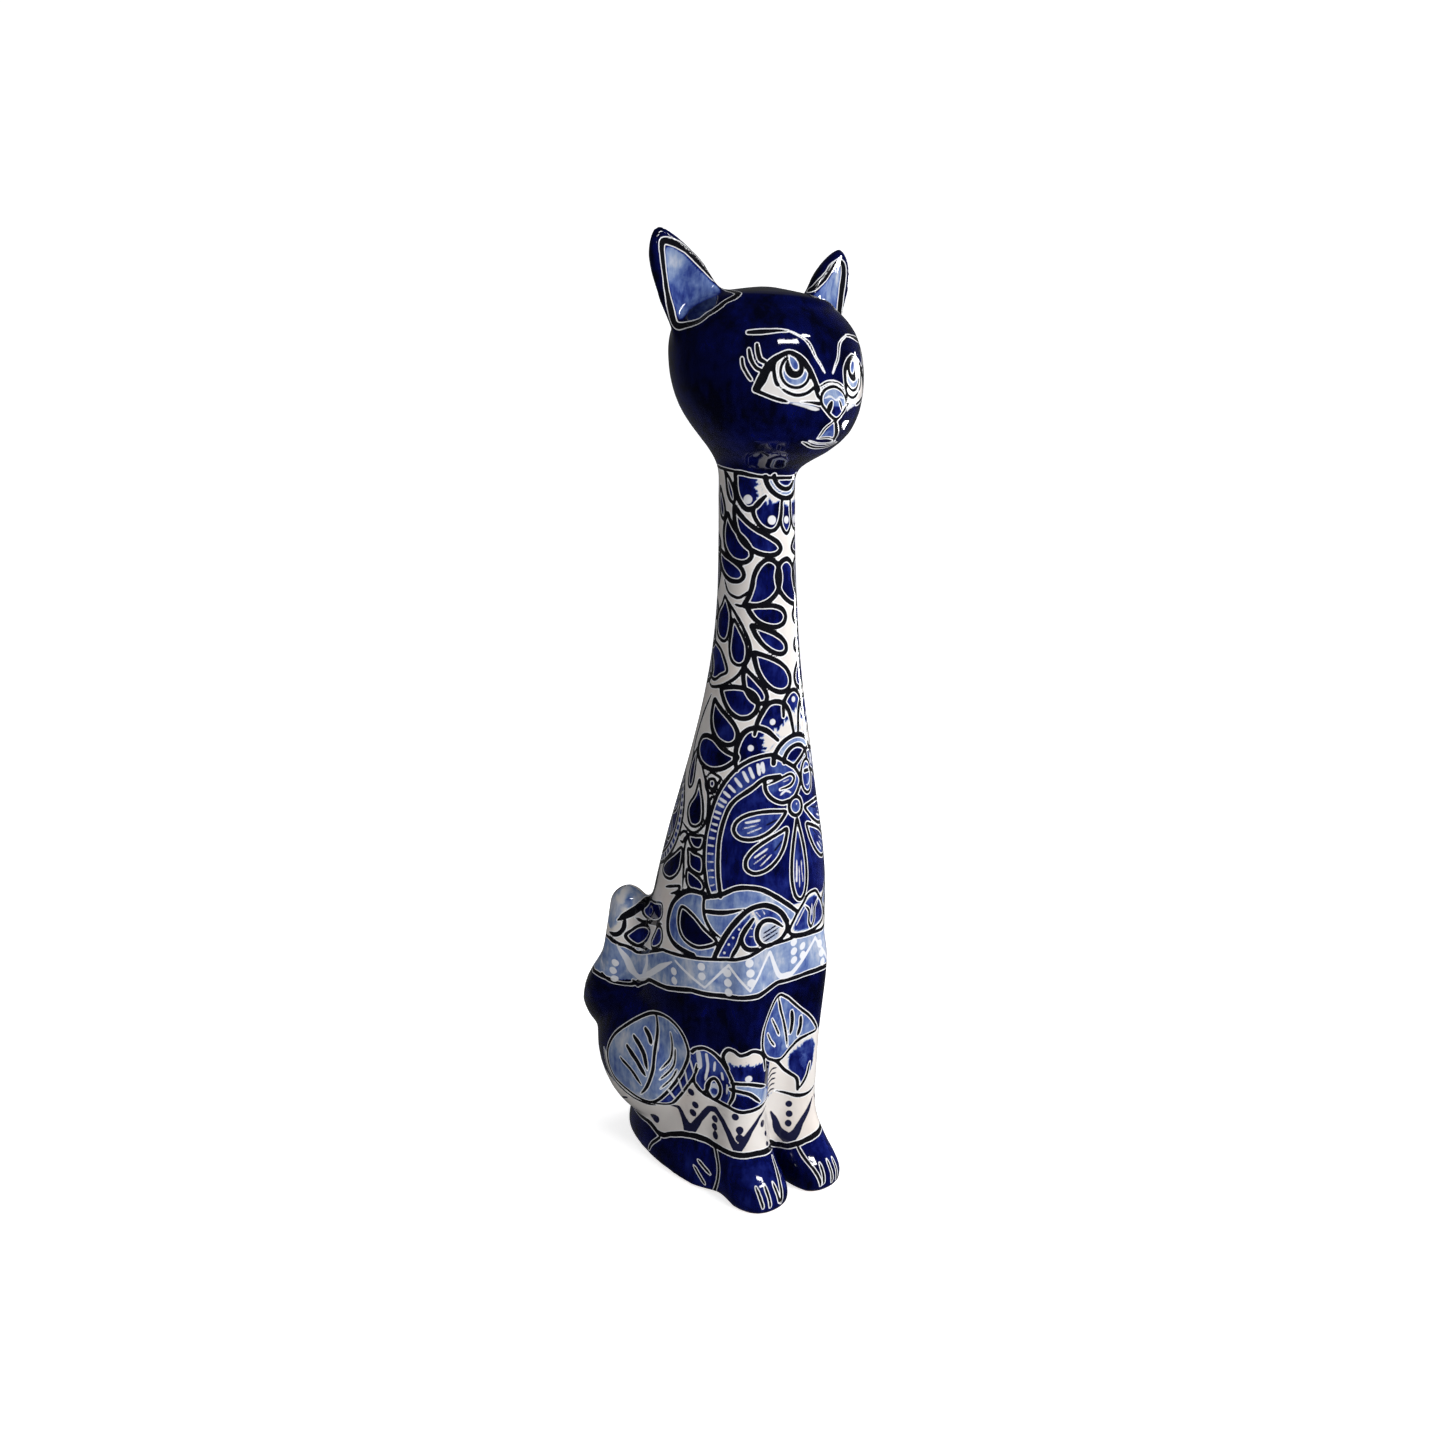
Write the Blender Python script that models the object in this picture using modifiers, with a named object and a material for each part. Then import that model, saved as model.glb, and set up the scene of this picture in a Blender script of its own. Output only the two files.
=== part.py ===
"""Tall seated cat in glazed earthenware, as the separate clay pieces that the potter lutes together.

Metres, +Z up. The cat faces -Y, so its right side is -X. The origin is on the table, under the neck.
Hollow body and head castings, a floor slab with a vent, and pressed ears, legs, haunches and tail.
Every piece stops JOINT_GAP short of its neighbour, where the slip of the joint would be.
"""

import math

import bmesh
import bpy
import numpy as np
from mathutils import Matrix, Vector

# Driving dimensions
SEAM_Z = 0.397  # the neck seam, where the head casting sits on the body casting
HEAD_TOP_Z = 0.486
EAR_TIP_Z = 0.5115
WALL = 0.005  # wall of the two castings
JOINT_GAP = 0.0003
FLOOR_THICKNESS = 0.006
VENT_RADIUS = 0.006
VENT_Y = 0.014
RIGHT, LEFT = -1, 1  # the cat's own sides, as the sign of X

# Body casting, foot to neck seam: height, half width, chest y, back y, squareness of the section
BODY_STATIONS = (
    (0.000, 0.0350, -0.0340, 0.0590, 2.6),
    (0.008, 0.0380, -0.0370, 0.0640, 2.6),
    (0.030, 0.0405, -0.0390, 0.0690, 2.7),
    (0.060, 0.0445, -0.0415, 0.0710, 2.7),
    (0.090, 0.0480, -0.0445, 0.0690, 2.6),
    (0.120, 0.0500, -0.0480, 0.0620, 2.3),
    (0.150, 0.0490, -0.0498, 0.0530, 2.0),
    (0.175, 0.0465, -0.0488, 0.0465, 2.0),
    (0.200, 0.0425, -0.0458, 0.0405, 2.0),
    (0.225, 0.0375, -0.0407, 0.0335, 2.0),
    (0.250, 0.0325, -0.0368, 0.0272, 2.0),
    (0.275, 0.0275, -0.0325, 0.0225, 2.0),
    (0.300, 0.0238, -0.0285, 0.0192, 2.0),
    (0.330, 0.0212, -0.0248, 0.0182, 2.0),
    (0.360, 0.0203, -0.0212, 0.0196, 2.0),
    (SEAM_Z, 0.0202, -0.0182, 0.0222, 2.0),
)
# Head casting, neck seam to crown: height, half width, face y, nape y, squareness
HEAD_STATIONS = (
    (SEAM_Z, 0.0202, -0.0182, 0.0222, 2.0),
    (0.402, 0.0240, -0.0265, 0.0240, 2.0),
    (0.408, 0.0300, -0.0385, 0.0270, 2.0),
    (0.416, 0.0375, -0.0470, 0.0320, 2.1),
    (0.426, 0.0445, -0.0498, 0.0375, 2.15),
    (0.437, 0.0490, -0.0502, 0.0420, 2.1),
    (0.450, 0.0510, -0.0488, 0.0450, 2.05),
    (0.460, 0.0508, -0.0458, 0.0455, 2.0),
    (0.470, 0.0470, -0.0400, 0.0430, 2.0),
    (0.478, 0.0385, -0.0315, 0.0355, 2.0),
    (0.4835, 0.0260, -0.0225, 0.0245, 2.0),
    (HEAD_TOP_Z, 0.0040, -0.0030, 0.0060, 2.0),
)
MUZZLE_REACH, MUZZLE_Z, MUZZLE_SPREAD_X, MUZZLE_SPREAD_Z = 0.0055, 0.4260, 0.0150, 0.0110
# Front leg with its paw, foot to shoulder: height, offset from centre, half width, front y, rear y, squareness
FRONT_LEG_STATIONS = (
    (0.000, 0.0190, 0.0158, -0.0650, -0.0200, 2.5),
    (0.004, 0.0190, 0.0172, -0.0685, -0.0200, 2.5),
    (0.012, 0.0190, 0.0172, -0.0680, -0.0200, 2.4),
    (0.020, 0.0188, 0.0160, -0.0605, -0.0200, 2.2),
    (0.028, 0.0185, 0.0150, -0.0535, -0.0200, 2.1),
    (0.038, 0.0182, 0.0144, -0.0488, -0.0190, 2.0),
    (0.060, 0.0180, 0.0142, -0.0478, -0.0190, 2.0),
    (0.090, 0.0180, 0.0144, -0.0480, -0.0190, 2.0),
    (0.115, 0.0185, 0.0150, -0.0492, -0.0200, 2.0),
    (0.135, 0.0190, 0.0145, -0.0485, -0.0250, 2.0),
    (0.150, 0.0190, 0.0110, -0.0455, -0.0290, 2.0),
)
PAW_DRIFT, PAW_HEIGHT = 0.0012, 0.040  # both front paws lean this far to the cat's left at the table
# Hind leg: the folded thigh and the foot along the base, as centre and half axes (x to the cat's side)
THIGH_CENTRE, THIGH_AXES = (0.0325, 0.0335, 0.0610), (0.0280, 0.0450, 0.0435)
FOOT_CENTRE, FOOT_AXES = (0.0300, 0.0090, 0.0060), (0.0160, 0.0480, 0.0360)
# Tail: centre line from the rump round the right flank to the raised tip, with its radius
TAIL_PATH = (
    (0.012, 0.062, 0.046, 0.0130),
    (-0.017, 0.079, 0.056, 0.0152),
    (-0.0375, 0.0745, 0.073, 0.0158),
    (-0.0480, 0.0590, 0.093, 0.0143),
    (-0.0475, 0.0465, 0.114, 0.0130),
    (-0.0480, 0.0415, 0.133, 0.0124),
    (-0.0475, 0.0405, 0.1500, 0.0114),
)
# Ear edges from root to tip, as points off centre: the outer edge carries on from the cheek
EAR_OUTER_EDGE = (
    (0.0460, 0.0080, 0.4480),
    (0.0565, 0.0105, 0.4680),
    (0.0625, 0.0125, 0.4860),
    (0.0630, 0.0138, 0.5020),
)
EAR_INNER_EDGE = (
    (0.0140, 0.0010, 0.4690),
    (0.0240, 0.0030, 0.4850),
    (0.0355, 0.0070, 0.4960),
    (0.0470, 0.0110, 0.5055),
)
EAR_TIP = (0.0585, 0.0135, EAR_TIP_Z)
EAR_THICKNESS = (0.0160, 0.0135, 0.0110, 0.0085)
EAR_HOLLOW = (0.35, 0.60, 0.60, 0.45)  # how far the front is pressed in, as a share of the thickness
EAR_FACING = Vector((0.26, -0.96, 0.10)).normalized()
# Ear section, over the back and home across the front: share of the way from the outer to the inner edge,
# half thicknesses towards the front, and how strongly the hollow presses that point back
EAR_SECTION = (
    (0.00, 0.0, 0),
    (0.20, -1.0, 0),
    (0.50, -1.3, 0),
    (0.80, -1.0, 0),
    (1.00, 0.0, 0),
    (0.88, 1.0, 0),
    (0.72, 1.0, 1),
    (0.28, 1.0, 2),
    (0.12, 1.0, 0),
)
EAR_TIP_TAPER = 0.12  # the last ring's size against the one before it

# How finely each form is drawn
BODY_SEGMENTS, BODY_RINGS = 60, 52
HEAD_SEGMENTS, HEAD_RINGS = 52, 27
CAVITY_SEGMENTS, CAVITY_RINGS = 28, 16
LEG_SEGMENTS = 24
ELLIPSOID_SEGMENTS, ELLIPSOID_RINGS = 32, 18
TAIL_RINGS, TAIL_TIP_RINGS = 19, 5
VENT_SEGMENTS = 32

OVERSHOOT = 0.002  # how far a cutter runs past the face it opens
CUTTER_REACH = 0.2  # half the width of the blocks that trim things level


def clear_scene():
    for old in list(bpy.data.objects):
        bpy.data.objects.remove(old, do_unlink=True)


def new_collection(name, hidden=False):
    made = bpy.data.collections.new(name)
    bpy.context.scene.collection.children.link(made)
    made.hide_render = hidden
    return made


def clay_material(name, colour, roughness):
    made = bpy.data.materials.new(name)
    made.use_nodes = True
    shader = made.node_tree.nodes["Principled BSDF"]
    shader.inputs["Base Color"].default_value = (*colour, 1.0)
    shader.inputs["Roughness"].default_value = roughness
    shader.inputs["Metallic"].default_value = 0.0
    made.diffuse_color = (*colour, 1.0)
    return made


def object_from(bm, name, collection, material=None):
    bmesh.ops.recalc_face_normals(bm, faces=bm.faces)
    mesh = bpy.data.meshes.new(name)
    bm.to_mesh(mesh)
    bm.free()
    if material:
        mesh.materials.append(material)
        mesh.shade_smooth()
        mesh.set_sharp_from_angle(angle=math.radians(40))
    made = bpy.data.objects.new(name, mesh)
    collection.objects.link(made)
    if collection.hide_render:
        made.hide_render = True
        made.display_type = "WIRE"
    return made


def table_at(stations, height):
    """The columns of a station table at a height, along a smooth curve through the stations."""
    rows = np.array(stations)
    z = rows[:, 0]
    slopes = np.gradient(rows, z, axis=0)
    i = int(np.clip(np.searchsorted(z, height) - 1, 0, len(z) - 2))
    step = z[i + 1] - z[i]
    t = (height - z[i]) / step
    ease_in, ease_out = t * (1 - t) ** 2, t * t * (t - 1)
    blend = t * t * (3 - 2 * t)
    return rows[i] * (1 - blend) + rows[i + 1] * blend + step * (slopes[i] * ease_in + slopes[i + 1] * ease_out)


def section(half_width, front_y, back_y, squareness, segments, centre_x=0.0):
    """One level outline of a form, as (x, y) points; squareness 2 is an ellipse and more is boxier."""
    centre_y, half_depth = (front_y + back_y) / 2, (back_y - front_y) / 2
    outline = []
    for k in range(segments):
        angle = 2 * math.pi * k / segments
        s, c = math.sin(angle), math.cos(angle)
        reach = (abs(s) ** squareness + abs(c) ** squareness) ** (-1 / squareness)
        outline.append((centre_x + half_width * reach * s, centre_y - half_depth * reach * c))
    return outline


def form_rings(stations, heights, segments):
    """Rings of points over a station table, as an array of ring, place in the ring, and x y z."""
    rings = []
    for height in heights:
        columns = table_at(stations, height)[1:]
        rings.append([(x, y, height) for x, y in section(*columns, segments)])
    return np.array(rings)


def offset_rings(rings, distance):
    """The rings moved outwards square to the surface that they span, or inwards if distance is negative."""
    around = np.roll(rings, -1, axis=1) - np.roll(rings, 1, axis=1)
    upwards = np.gradient(rings, axis=0)
    outwards = np.cross(around, upwards)
    return rings + distance * outwards / np.linalg.norm(outwards, axis=2, keepdims=True)


def loft(rings, name, collection, material=None):
    """A closed solid skinned over rings of points, with a flat face at each end."""
    bm = bmesh.new()
    levels = [[bm.verts.new(point) for point in ring] for ring in rings]
    count = len(levels[0])
    for low, high in zip(levels, levels[1:]):
        for k in range(count):
            bm.faces.new((low[k], low[(k + 1) % count], high[(k + 1) % count], high[k]))
    bm.faces.new(levels[0])
    bm.faces.new(levels[-1])
    return object_from(bm, name, collection, material)


def body_form(name, collection, material=None, grow=0.0, bottom=0.0, top=SEAM_Z, fine=True):
    """The body's outline, offset outwards by grow, with its end faces at two heights."""
    segments, count = (BODY_SEGMENTS, BODY_RINGS) if fine else (CAVITY_SEGMENTS, CAVITY_RINGS)
    rings = offset_rings(form_rings(BODY_STATIONS, np.linspace(0.0, SEAM_Z, count), segments), grow)
    rings[0, :, 2] = bottom
    rings[-1, :, 2] = top
    return loft(rings, name, collection, material)


def head_form(name, collection, material=None, grow=0.0, bottom=SEAM_Z, fine=True):
    """The head's outline, offset outwards by grow. Its rings crowd towards the flat crown."""
    segments, count = (HEAD_SEGMENTS, HEAD_RINGS) if fine else (CAVITY_SEGMENTS, CAVITY_RINGS)
    shares = np.sin(np.linspace(0, math.pi / 2, count))
    rings = form_rings(HEAD_STATIONS, SEAM_Z + (HEAD_TOP_Z - SEAM_Z) * shares, segments)
    x, y, z = np.moveaxis(rings, 2, 0)
    swell = np.exp(-((x / MUZZLE_SPREAD_X) ** 2) - ((z - MUZZLE_Z) / MUZZLE_SPREAD_Z) ** 2)
    rings[:, :, 1] -= np.where(y < 0, MUZZLE_REACH * swell, 0.0)
    rings = offset_rings(rings, grow)
    rings[0, :, 2] = bottom
    return loft(rings, name, collection, material)


def front_leg_form(name, collection, side, material=None, grow=0.0):
    """A front leg with its paw; both paws drift a little to the cat's left, as set by hand."""
    heights = [row[0] for row in FRONT_LEG_STATIONS]
    heights = sorted(heights + [(a + b) / 2 for a, b in zip(heights, heights[1:])])
    rings = []
    for height in heights:
        _, off, half_width, front, back, squareness = table_at(FRONT_LEG_STATIONS, height)
        centre_x = side * off + PAW_DRIFT * max(0.0, 1 - height / PAW_HEIGHT)
        outline = section(half_width, front, back, squareness, LEG_SEGMENTS, centre_x)
        rings.append([(x, y, height) for x, y in outline])
    rings = offset_rings(np.array(rings), grow)
    rings[0, :, 2] = -OVERSHOOT if grow else 0.0
    rings[-1, :, 2] = heights[-1] + grow
    return loft(rings, name, collection, material)


def ellipsoid(centre, axes, side, name, collection, grow=0.0, material=None):
    bm = bmesh.new()
    bmesh.ops.create_uvsphere(bm, u_segments=ELLIPSOID_SEGMENTS, v_segments=ELLIPSOID_RINGS, radius=1.0)
    x, y, z = centre
    size = Matrix.Diagonal([axis + grow for axis in axes]).to_4x4()
    bmesh.ops.transform(bm, matrix=Matrix.Translation((side * x, y, z)) @ size, verts=bm.verts)
    return object_from(bm, name, collection, material)


def combine(target, other, operation):
    change = target.modifiers.new(f"{operation.lower()}_{other.name}", "BOOLEAN")
    change.operation = operation
    change.object = other
    change.solver = "EXACT"


def hind_leg_form(name, collection, side, material=None, grow=0.0):
    thigh = ellipsoid(THIGH_CENTRE, THIGH_AXES, side, name, collection, grow, material)
    foot = ellipsoid(FOOT_CENTRE, FOOT_AXES, side, f"{name}_foot_helper", HELPERS, grow)
    combine(thigh, foot, "UNION")
    return thigh


def block_cutter(name, bottom, top):
    """A wide block between two heights."""
    bm = bmesh.new()
    bmesh.ops.create_cube(bm, size=1.0)
    low = Vector((-CUTTER_REACH, -CUTTER_REACH, bottom))
    high = Vector((CUTTER_REACH, CUTTER_REACH, top))
    place = Matrix.Translation((low + high) / 2) @ Matrix.Diagonal(high - low).to_4x4()
    bmesh.ops.transform(bm, matrix=place, verts=bm.verts)
    return object_from(bm, name, HELPERS)


def tail_form(name, collection, material):
    """A round coil of clay that follows TAIL_PATH and ends in a rounded tip."""
    stations = np.column_stack([np.arange(len(TAIL_PATH)), TAIL_PATH])
    places, radii = [], []
    for t in np.linspace(0, len(TAIL_PATH) - 1, TAIL_RINGS):
        row = table_at(stations, t)[1:]
        places.append(row[:3])
        radii.append(row[3])
    end, end_radius = places[-1], radii[-1]
    heading = end - places[-2]
    heading = heading / np.linalg.norm(heading)
    for k in range(1, TAIL_TIP_RINGS + 1):
        turn = (math.pi / 2) * k / (TAIL_TIP_RINGS + 0.5)
        places.append(end + heading * end_radius * math.sin(turn))
        radii.append(end_radius * math.cos(turn))
    curve = bpy.data.curves.new(name + "_path", "CURVE")
    curve.dimensions = "3D"
    curve.bevel_depth = 1.0
    curve.bevel_resolution = 4
    curve.use_fill_caps = True
    line = curve.splines.new("POLY")
    line.points.add(len(places) - 1)
    for point, place, radius in zip(line.points, places, radii):
        point.co = (*place, 1.0)
        point.radius = radius
    guide = bpy.data.objects.new(name + "_path", curve)
    collection.objects.link(guide)
    bpy.context.view_layer.update()
    graph = bpy.context.evaluated_depsgraph_get()
    skin = bpy.data.meshes.new_from_object(guide.evaluated_get(graph), depsgraph=graph)
    bpy.data.objects.remove(guide)
    bm = bmesh.new()
    bm.from_mesh(skin)
    bmesh.ops.remove_doubles(bm, verts=bm.verts, dist=0.0001)
    bpy.data.meshes.remove(skin)
    return object_from(bm, name, collection, material)


def ear_form(name, collection, side, material):
    """A leaf-shaped ear, pressed hollow in front, from coarse rings smoothed by subdivision."""
    facing = Vector((side * EAR_FACING.x, EAR_FACING.y, EAR_FACING.z))
    rings = []
    for outer, inner, thickness, hollow in zip(EAR_OUTER_EDGE, EAR_INNER_EDGE, EAR_THICKNESS, EAR_HOLLOW):
        outer = Vector((side * outer[0], outer[1], outer[2]))
        inner = Vector((side * inner[0], inner[1], inner[2]))
        half = facing * thickness / 2
        ring = []
        for share, forward, pressing in EAR_SECTION:
            ring.append(outer.lerp(inner, share) + half * (forward - pressing * hollow))
        rings.append(ring)
    tip = Vector((side * EAR_TIP[0], EAR_TIP[1], EAR_TIP[2]))
    rings.append([tip + (point - tip) * EAR_TIP_TAPER for point in rings[-1]])
    ear = loft(rings, name, collection, material)
    smooth = ear.modifiers.new("smooth", "SUBSURF")
    smooth.levels = smooth.render_levels = 2
    return ear


def vent_cutter():
    """The round hole through the floor that lets the air out in the kiln."""
    bm = bmesh.new()
    depth = 2 * (FLOOR_THICKNESS + OVERSHOOT)
    bmesh.ops.create_cone(
        bm, cap_ends=True, segments=VENT_SEGMENTS, radius1=VENT_RADIUS, radius2=VENT_RADIUS, depth=depth
    )
    bmesh.ops.translate(bm, verts=bm.verts, vec=(0.0, VENT_Y, 0.0))
    return object_from(bm, "vent_cutter", HELPERS)


clear_scene()
PIECES = new_collection("talavera_cat")
HELPERS = new_collection("cutters", hidden=True)

cobalt = clay_material("cobalt_glaze", (0.010, 0.016, 0.130), 0.12)
white = clay_material("white_glaze", (0.78, 0.75, 0.72), 0.15)
pale_blue = clay_material("pale_blue_glaze", (0.22, 0.32, 0.62), 0.15)
bare_clay = clay_material("bare_clay", (0.55, 0.30, 0.18), 0.85)

below_table = block_cutter("below_table_cutter", -CUTTER_REACH, 0.0)
around_body = body_form("around_body_cutter", HELPERS, grow=JOINT_GAP, bottom=-OVERSHOOT, top=SEAM_Z - JOINT_GAP)
around_head = head_form("around_head_cutter", HELPERS, grow=JOINT_GAP)

body_shell = body_form("body_shell", PIECES, white, top=SEAM_Z - JOINT_GAP)
body_cavity = body_form(
    "body_cavity_cutter", HELPERS, grow=-WALL, bottom=-OVERSHOOT, top=SEAM_Z + OVERSHOOT, fine=False
)
combine(body_shell, body_cavity, "DIFFERENCE")

head_shell = head_form("head_shell", PIECES, cobalt)
head_cavity = head_form("head_cavity_cutter", HELPERS, grow=-WALL, bottom=SEAM_Z - OVERSHOOT, fine=False)
combine(head_shell, head_cavity, "DIFFERENCE")

floor_slab = body_form("floor_slab", PIECES, bare_clay, grow=-WALL - JOINT_GAP, bottom=-OVERSHOOT, fine=False)
combine(floor_slab, below_table, "DIFFERENCE")
combine(floor_slab, block_cutter("above_floor_cutter", FLOOR_THICKNESS, SEAM_Z + CUTTER_REACH), "DIFFERENCE")
combine(floor_slab, vent_cutter(), "DIFFERENCE")

for side, word in ((RIGHT, "right"), (LEFT, "left")):
    front_leg = front_leg_form(f"front_leg_{word}", PIECES, side, cobalt)
    combine(front_leg, around_body, "DIFFERENCE")
    around_front_leg = front_leg_form(f"around_front_leg_{word}_cutter", HELPERS, side, grow=JOINT_GAP)

    hind_leg = hind_leg_form(f"hind_leg_{word}", PIECES, side, cobalt)
    combine(hind_leg, around_body, "DIFFERENCE")
    combine(hind_leg, around_front_leg, "DIFFERENCE")
    combine(hind_leg, below_table, "DIFFERENCE")

    ear = ear_form(f"ear_{word}", PIECES, side, cobalt)
    combine(ear, around_head, "DIFFERENCE")

tail = tail_form("tail", PIECES, pale_blue)
combine(tail, around_body, "DIFFERENCE")
for side, word in ((RIGHT, "right"), (LEFT, "left")):
    around_hind_leg = hind_leg_form(f"around_hind_leg_{word}_cutter", HELPERS, side, grow=JOINT_GAP)
    combine(tail, around_hind_leg, "DIFFERENCE")
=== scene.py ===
"""The looks of the tall seated cat: one glazed surface over the CAD pieces, hand-painted in cobalt.

The CAD pieces are fused into one smooth skin, the way slip and glaze hide the joints of the real cat.
The decoration is painted on that skin as brush strokes, stored per vertex as distances to the nearest
stroke edge, and the skin is then cut back into one closed piece for each CAD piece.

Angles go round the neck's axis in degrees: 0 is straight ahead (-Y) and +90 is the cat's right side (-X).
"""

import math

import bmesh
import bpy
import numpy as np
from mathutils import Matrix, Vector, noise
from mathutils.bvhtree import BVHTree
from mathutils.kdtree import KDTree


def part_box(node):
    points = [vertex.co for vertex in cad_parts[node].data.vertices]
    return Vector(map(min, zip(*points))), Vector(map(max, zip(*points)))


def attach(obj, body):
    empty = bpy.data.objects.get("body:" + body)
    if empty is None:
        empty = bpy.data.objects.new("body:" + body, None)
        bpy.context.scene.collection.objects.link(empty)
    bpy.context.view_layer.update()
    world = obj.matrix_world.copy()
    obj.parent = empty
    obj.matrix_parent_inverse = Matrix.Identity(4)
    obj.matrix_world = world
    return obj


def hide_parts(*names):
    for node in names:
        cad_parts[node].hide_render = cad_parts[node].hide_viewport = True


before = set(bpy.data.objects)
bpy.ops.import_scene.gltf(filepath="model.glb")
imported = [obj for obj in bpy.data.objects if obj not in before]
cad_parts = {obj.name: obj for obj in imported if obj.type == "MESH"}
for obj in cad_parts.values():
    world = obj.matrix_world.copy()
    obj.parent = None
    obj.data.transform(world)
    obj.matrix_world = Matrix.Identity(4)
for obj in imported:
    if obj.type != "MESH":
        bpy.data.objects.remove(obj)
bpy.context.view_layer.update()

MM = 0.001
CLAY_NODES = [name for name in sorted(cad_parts) if name != "floor_slab"]
HOLLOW_NODES = ("body_shell", "head_shell")
CORE_Y = 3 * MM  # a line up the middle of both cavities, at x = 0
HEAD_CORE_Z = (445 * MM, 460 * MM)

VOXEL = 0.9 * MM
FINENESS = (0.9 * MM / VOXEL) ** 2  # smoothing passes scale with this
SWELL = 0.45 * MM  # pieces swell by this before they fuse, so the gaps between them close
BLEND_REACH = 13 * MM  # how far the slip is smoothed out on each side of a joint
NODE_REACH = BLEND_REACH + 3 * MM  # how far off a piece's distance still matters
EVEN_PASSES, EVEN_FACTOR = 16, 0.5  # smoothing of the whole skin
JOINT_PASSES, JOINT_FACTOR = 150, 0.6  # further smoothing across the joints
JOINT_FALLOFF = 0.7
EAR_LEVEL = 488 * MM  # above this the skin is smoothed less, to keep the ears' tips
EAR_SMOOTHING = 0.3
WALL = {"body_shell": 4.5 * MM, "head_shell": 4.5 * MM, "ear_right": 1.6 * MM, "ear_left": 1.6 * MM}
LIMB_WALL = 4 * MM

# Finer shapes that the slip and glaze add, in mm
NOSE, NOSE_SPREAD, NOSE_REACH = (2.5, 432.5), 6.0, 0.5  # the nose's place in x and z, and its bump
EAR_FULL_FROM, EAR_FULL_REACH, EAR_FULLNESS = 482.0, 16.0, 1.5  # the thickened tips of the ears
CROWN_Y, CROWN_SPREAD, CROWN_RISE, CROWN_REACH = 2.0, 26.0, 1.4, 20  # the rounded crown of the head

# Where the clay is left bare underneath, in mm; facing is the least downward turn of the surface
BARE_TOP, BARE_FACING = 1.3, -0.6
UNDERSIDE_TOP, UNDERSIDE_FACING = 1.5, -0.5
FLOOR_CLEARANCE = 0.9  # the glazed body stops this far past the floor slab's edge

# How much cobalt the glaze carries, from bare white at 0 to nearly black at 1
PALE = 0.34
COBALT = 0.86
DEEP = 0.93


# The skin: fused from the CAD pieces


def without_cavity(node):
    """A CAD piece as a bmesh, closed over its cavity if it is one of the hollow castings."""
    bm = bmesh.new()
    bm.from_mesh(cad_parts[node].data)
    bmesh.ops.remove_doubles(bm, verts=bm.verts, dist=1e-5)
    if node in HOLLOW_NODES:
        low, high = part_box(node)
        core_z = HEAD_CORE_Z if node == "head_shell" else (low.z, high.z)
        inner = []
        for face in bm.faces:
            centre = face.calc_center_median()
            core = Vector((0, CORE_Y, min(max(centre.z, core_z[0]), core_z[1])))
            end_face = abs(face.normal.z) > 0.99 and (centre.z < low.z + MM or node == "body_shell")
            if end_face or (centre - core).dot(face.normal) < 0:
                inner.append(face)
        bmesh.ops.delete(bm, geom=inner, context="FACES")
        bmesh.ops.holes_fill(bm, edges=bm.edges, sides=0)
        bmesh.ops.recalc_face_normals(bm, faces=bm.faces)
    return bm


def apply_modifiers(obj):
    graph = bpy.context.evaluated_depsgraph_get()
    mesh = bpy.data.meshes.new_from_object(obj.evaluated_get(graph), depsgraph=graph)
    obj.modifiers.clear()
    obj.data = mesh


def coordinates(mesh):
    points = np.zeros(len(mesh.vertices) * 3)
    mesh.vertices.foreach_get("co", points)
    return points.reshape(-1, 3)


def normals(mesh):
    directions = np.zeros(len(mesh.vertices) * 3)
    mesh.vertices.foreach_get("normal", directions)
    return directions.reshape(-1, 3)


def node_distances(points, reach):
    """Distance from each point to each CAD piece, in CLAY_NODES order; far is anything beyond reach."""
    far = 1.0
    found = np.full((len(points), len(CLAY_NODES)), far)
    for column, node in enumerate(CLAY_NODES):
        low, high = (np.array(corner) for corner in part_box(node))
        near = np.flatnonzero(((points > low - reach) & (points < high + reach)).all(axis=1))
        bm = without_cavity(node)
        tree = BVHTree.FromBMesh(bm)
        bm.free()
        for i in near:
            distance = tree.find_nearest(Vector(points[i]))[3]
            found[i, column] = distance
    return found


def smooth_group(obj, weights, steps, factor):
    """Smooths the object's mesh, each vertex by its own weight."""
    group = obj.vertex_groups.new(name="blend")
    levels = np.round(weights, 1)
    for level in np.unique(levels[levels > 0]):
        group.add([int(i) for i in np.flatnonzero(levels == level)], float(level), "REPLACE")
    change = obj.modifiers.new("blend", "SMOOTH")
    change.vertex_group = group.name
    change.factor = factor
    change.iterations = steps
    apply_modifiers(obj)
    obj.vertex_groups.clear()


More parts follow.
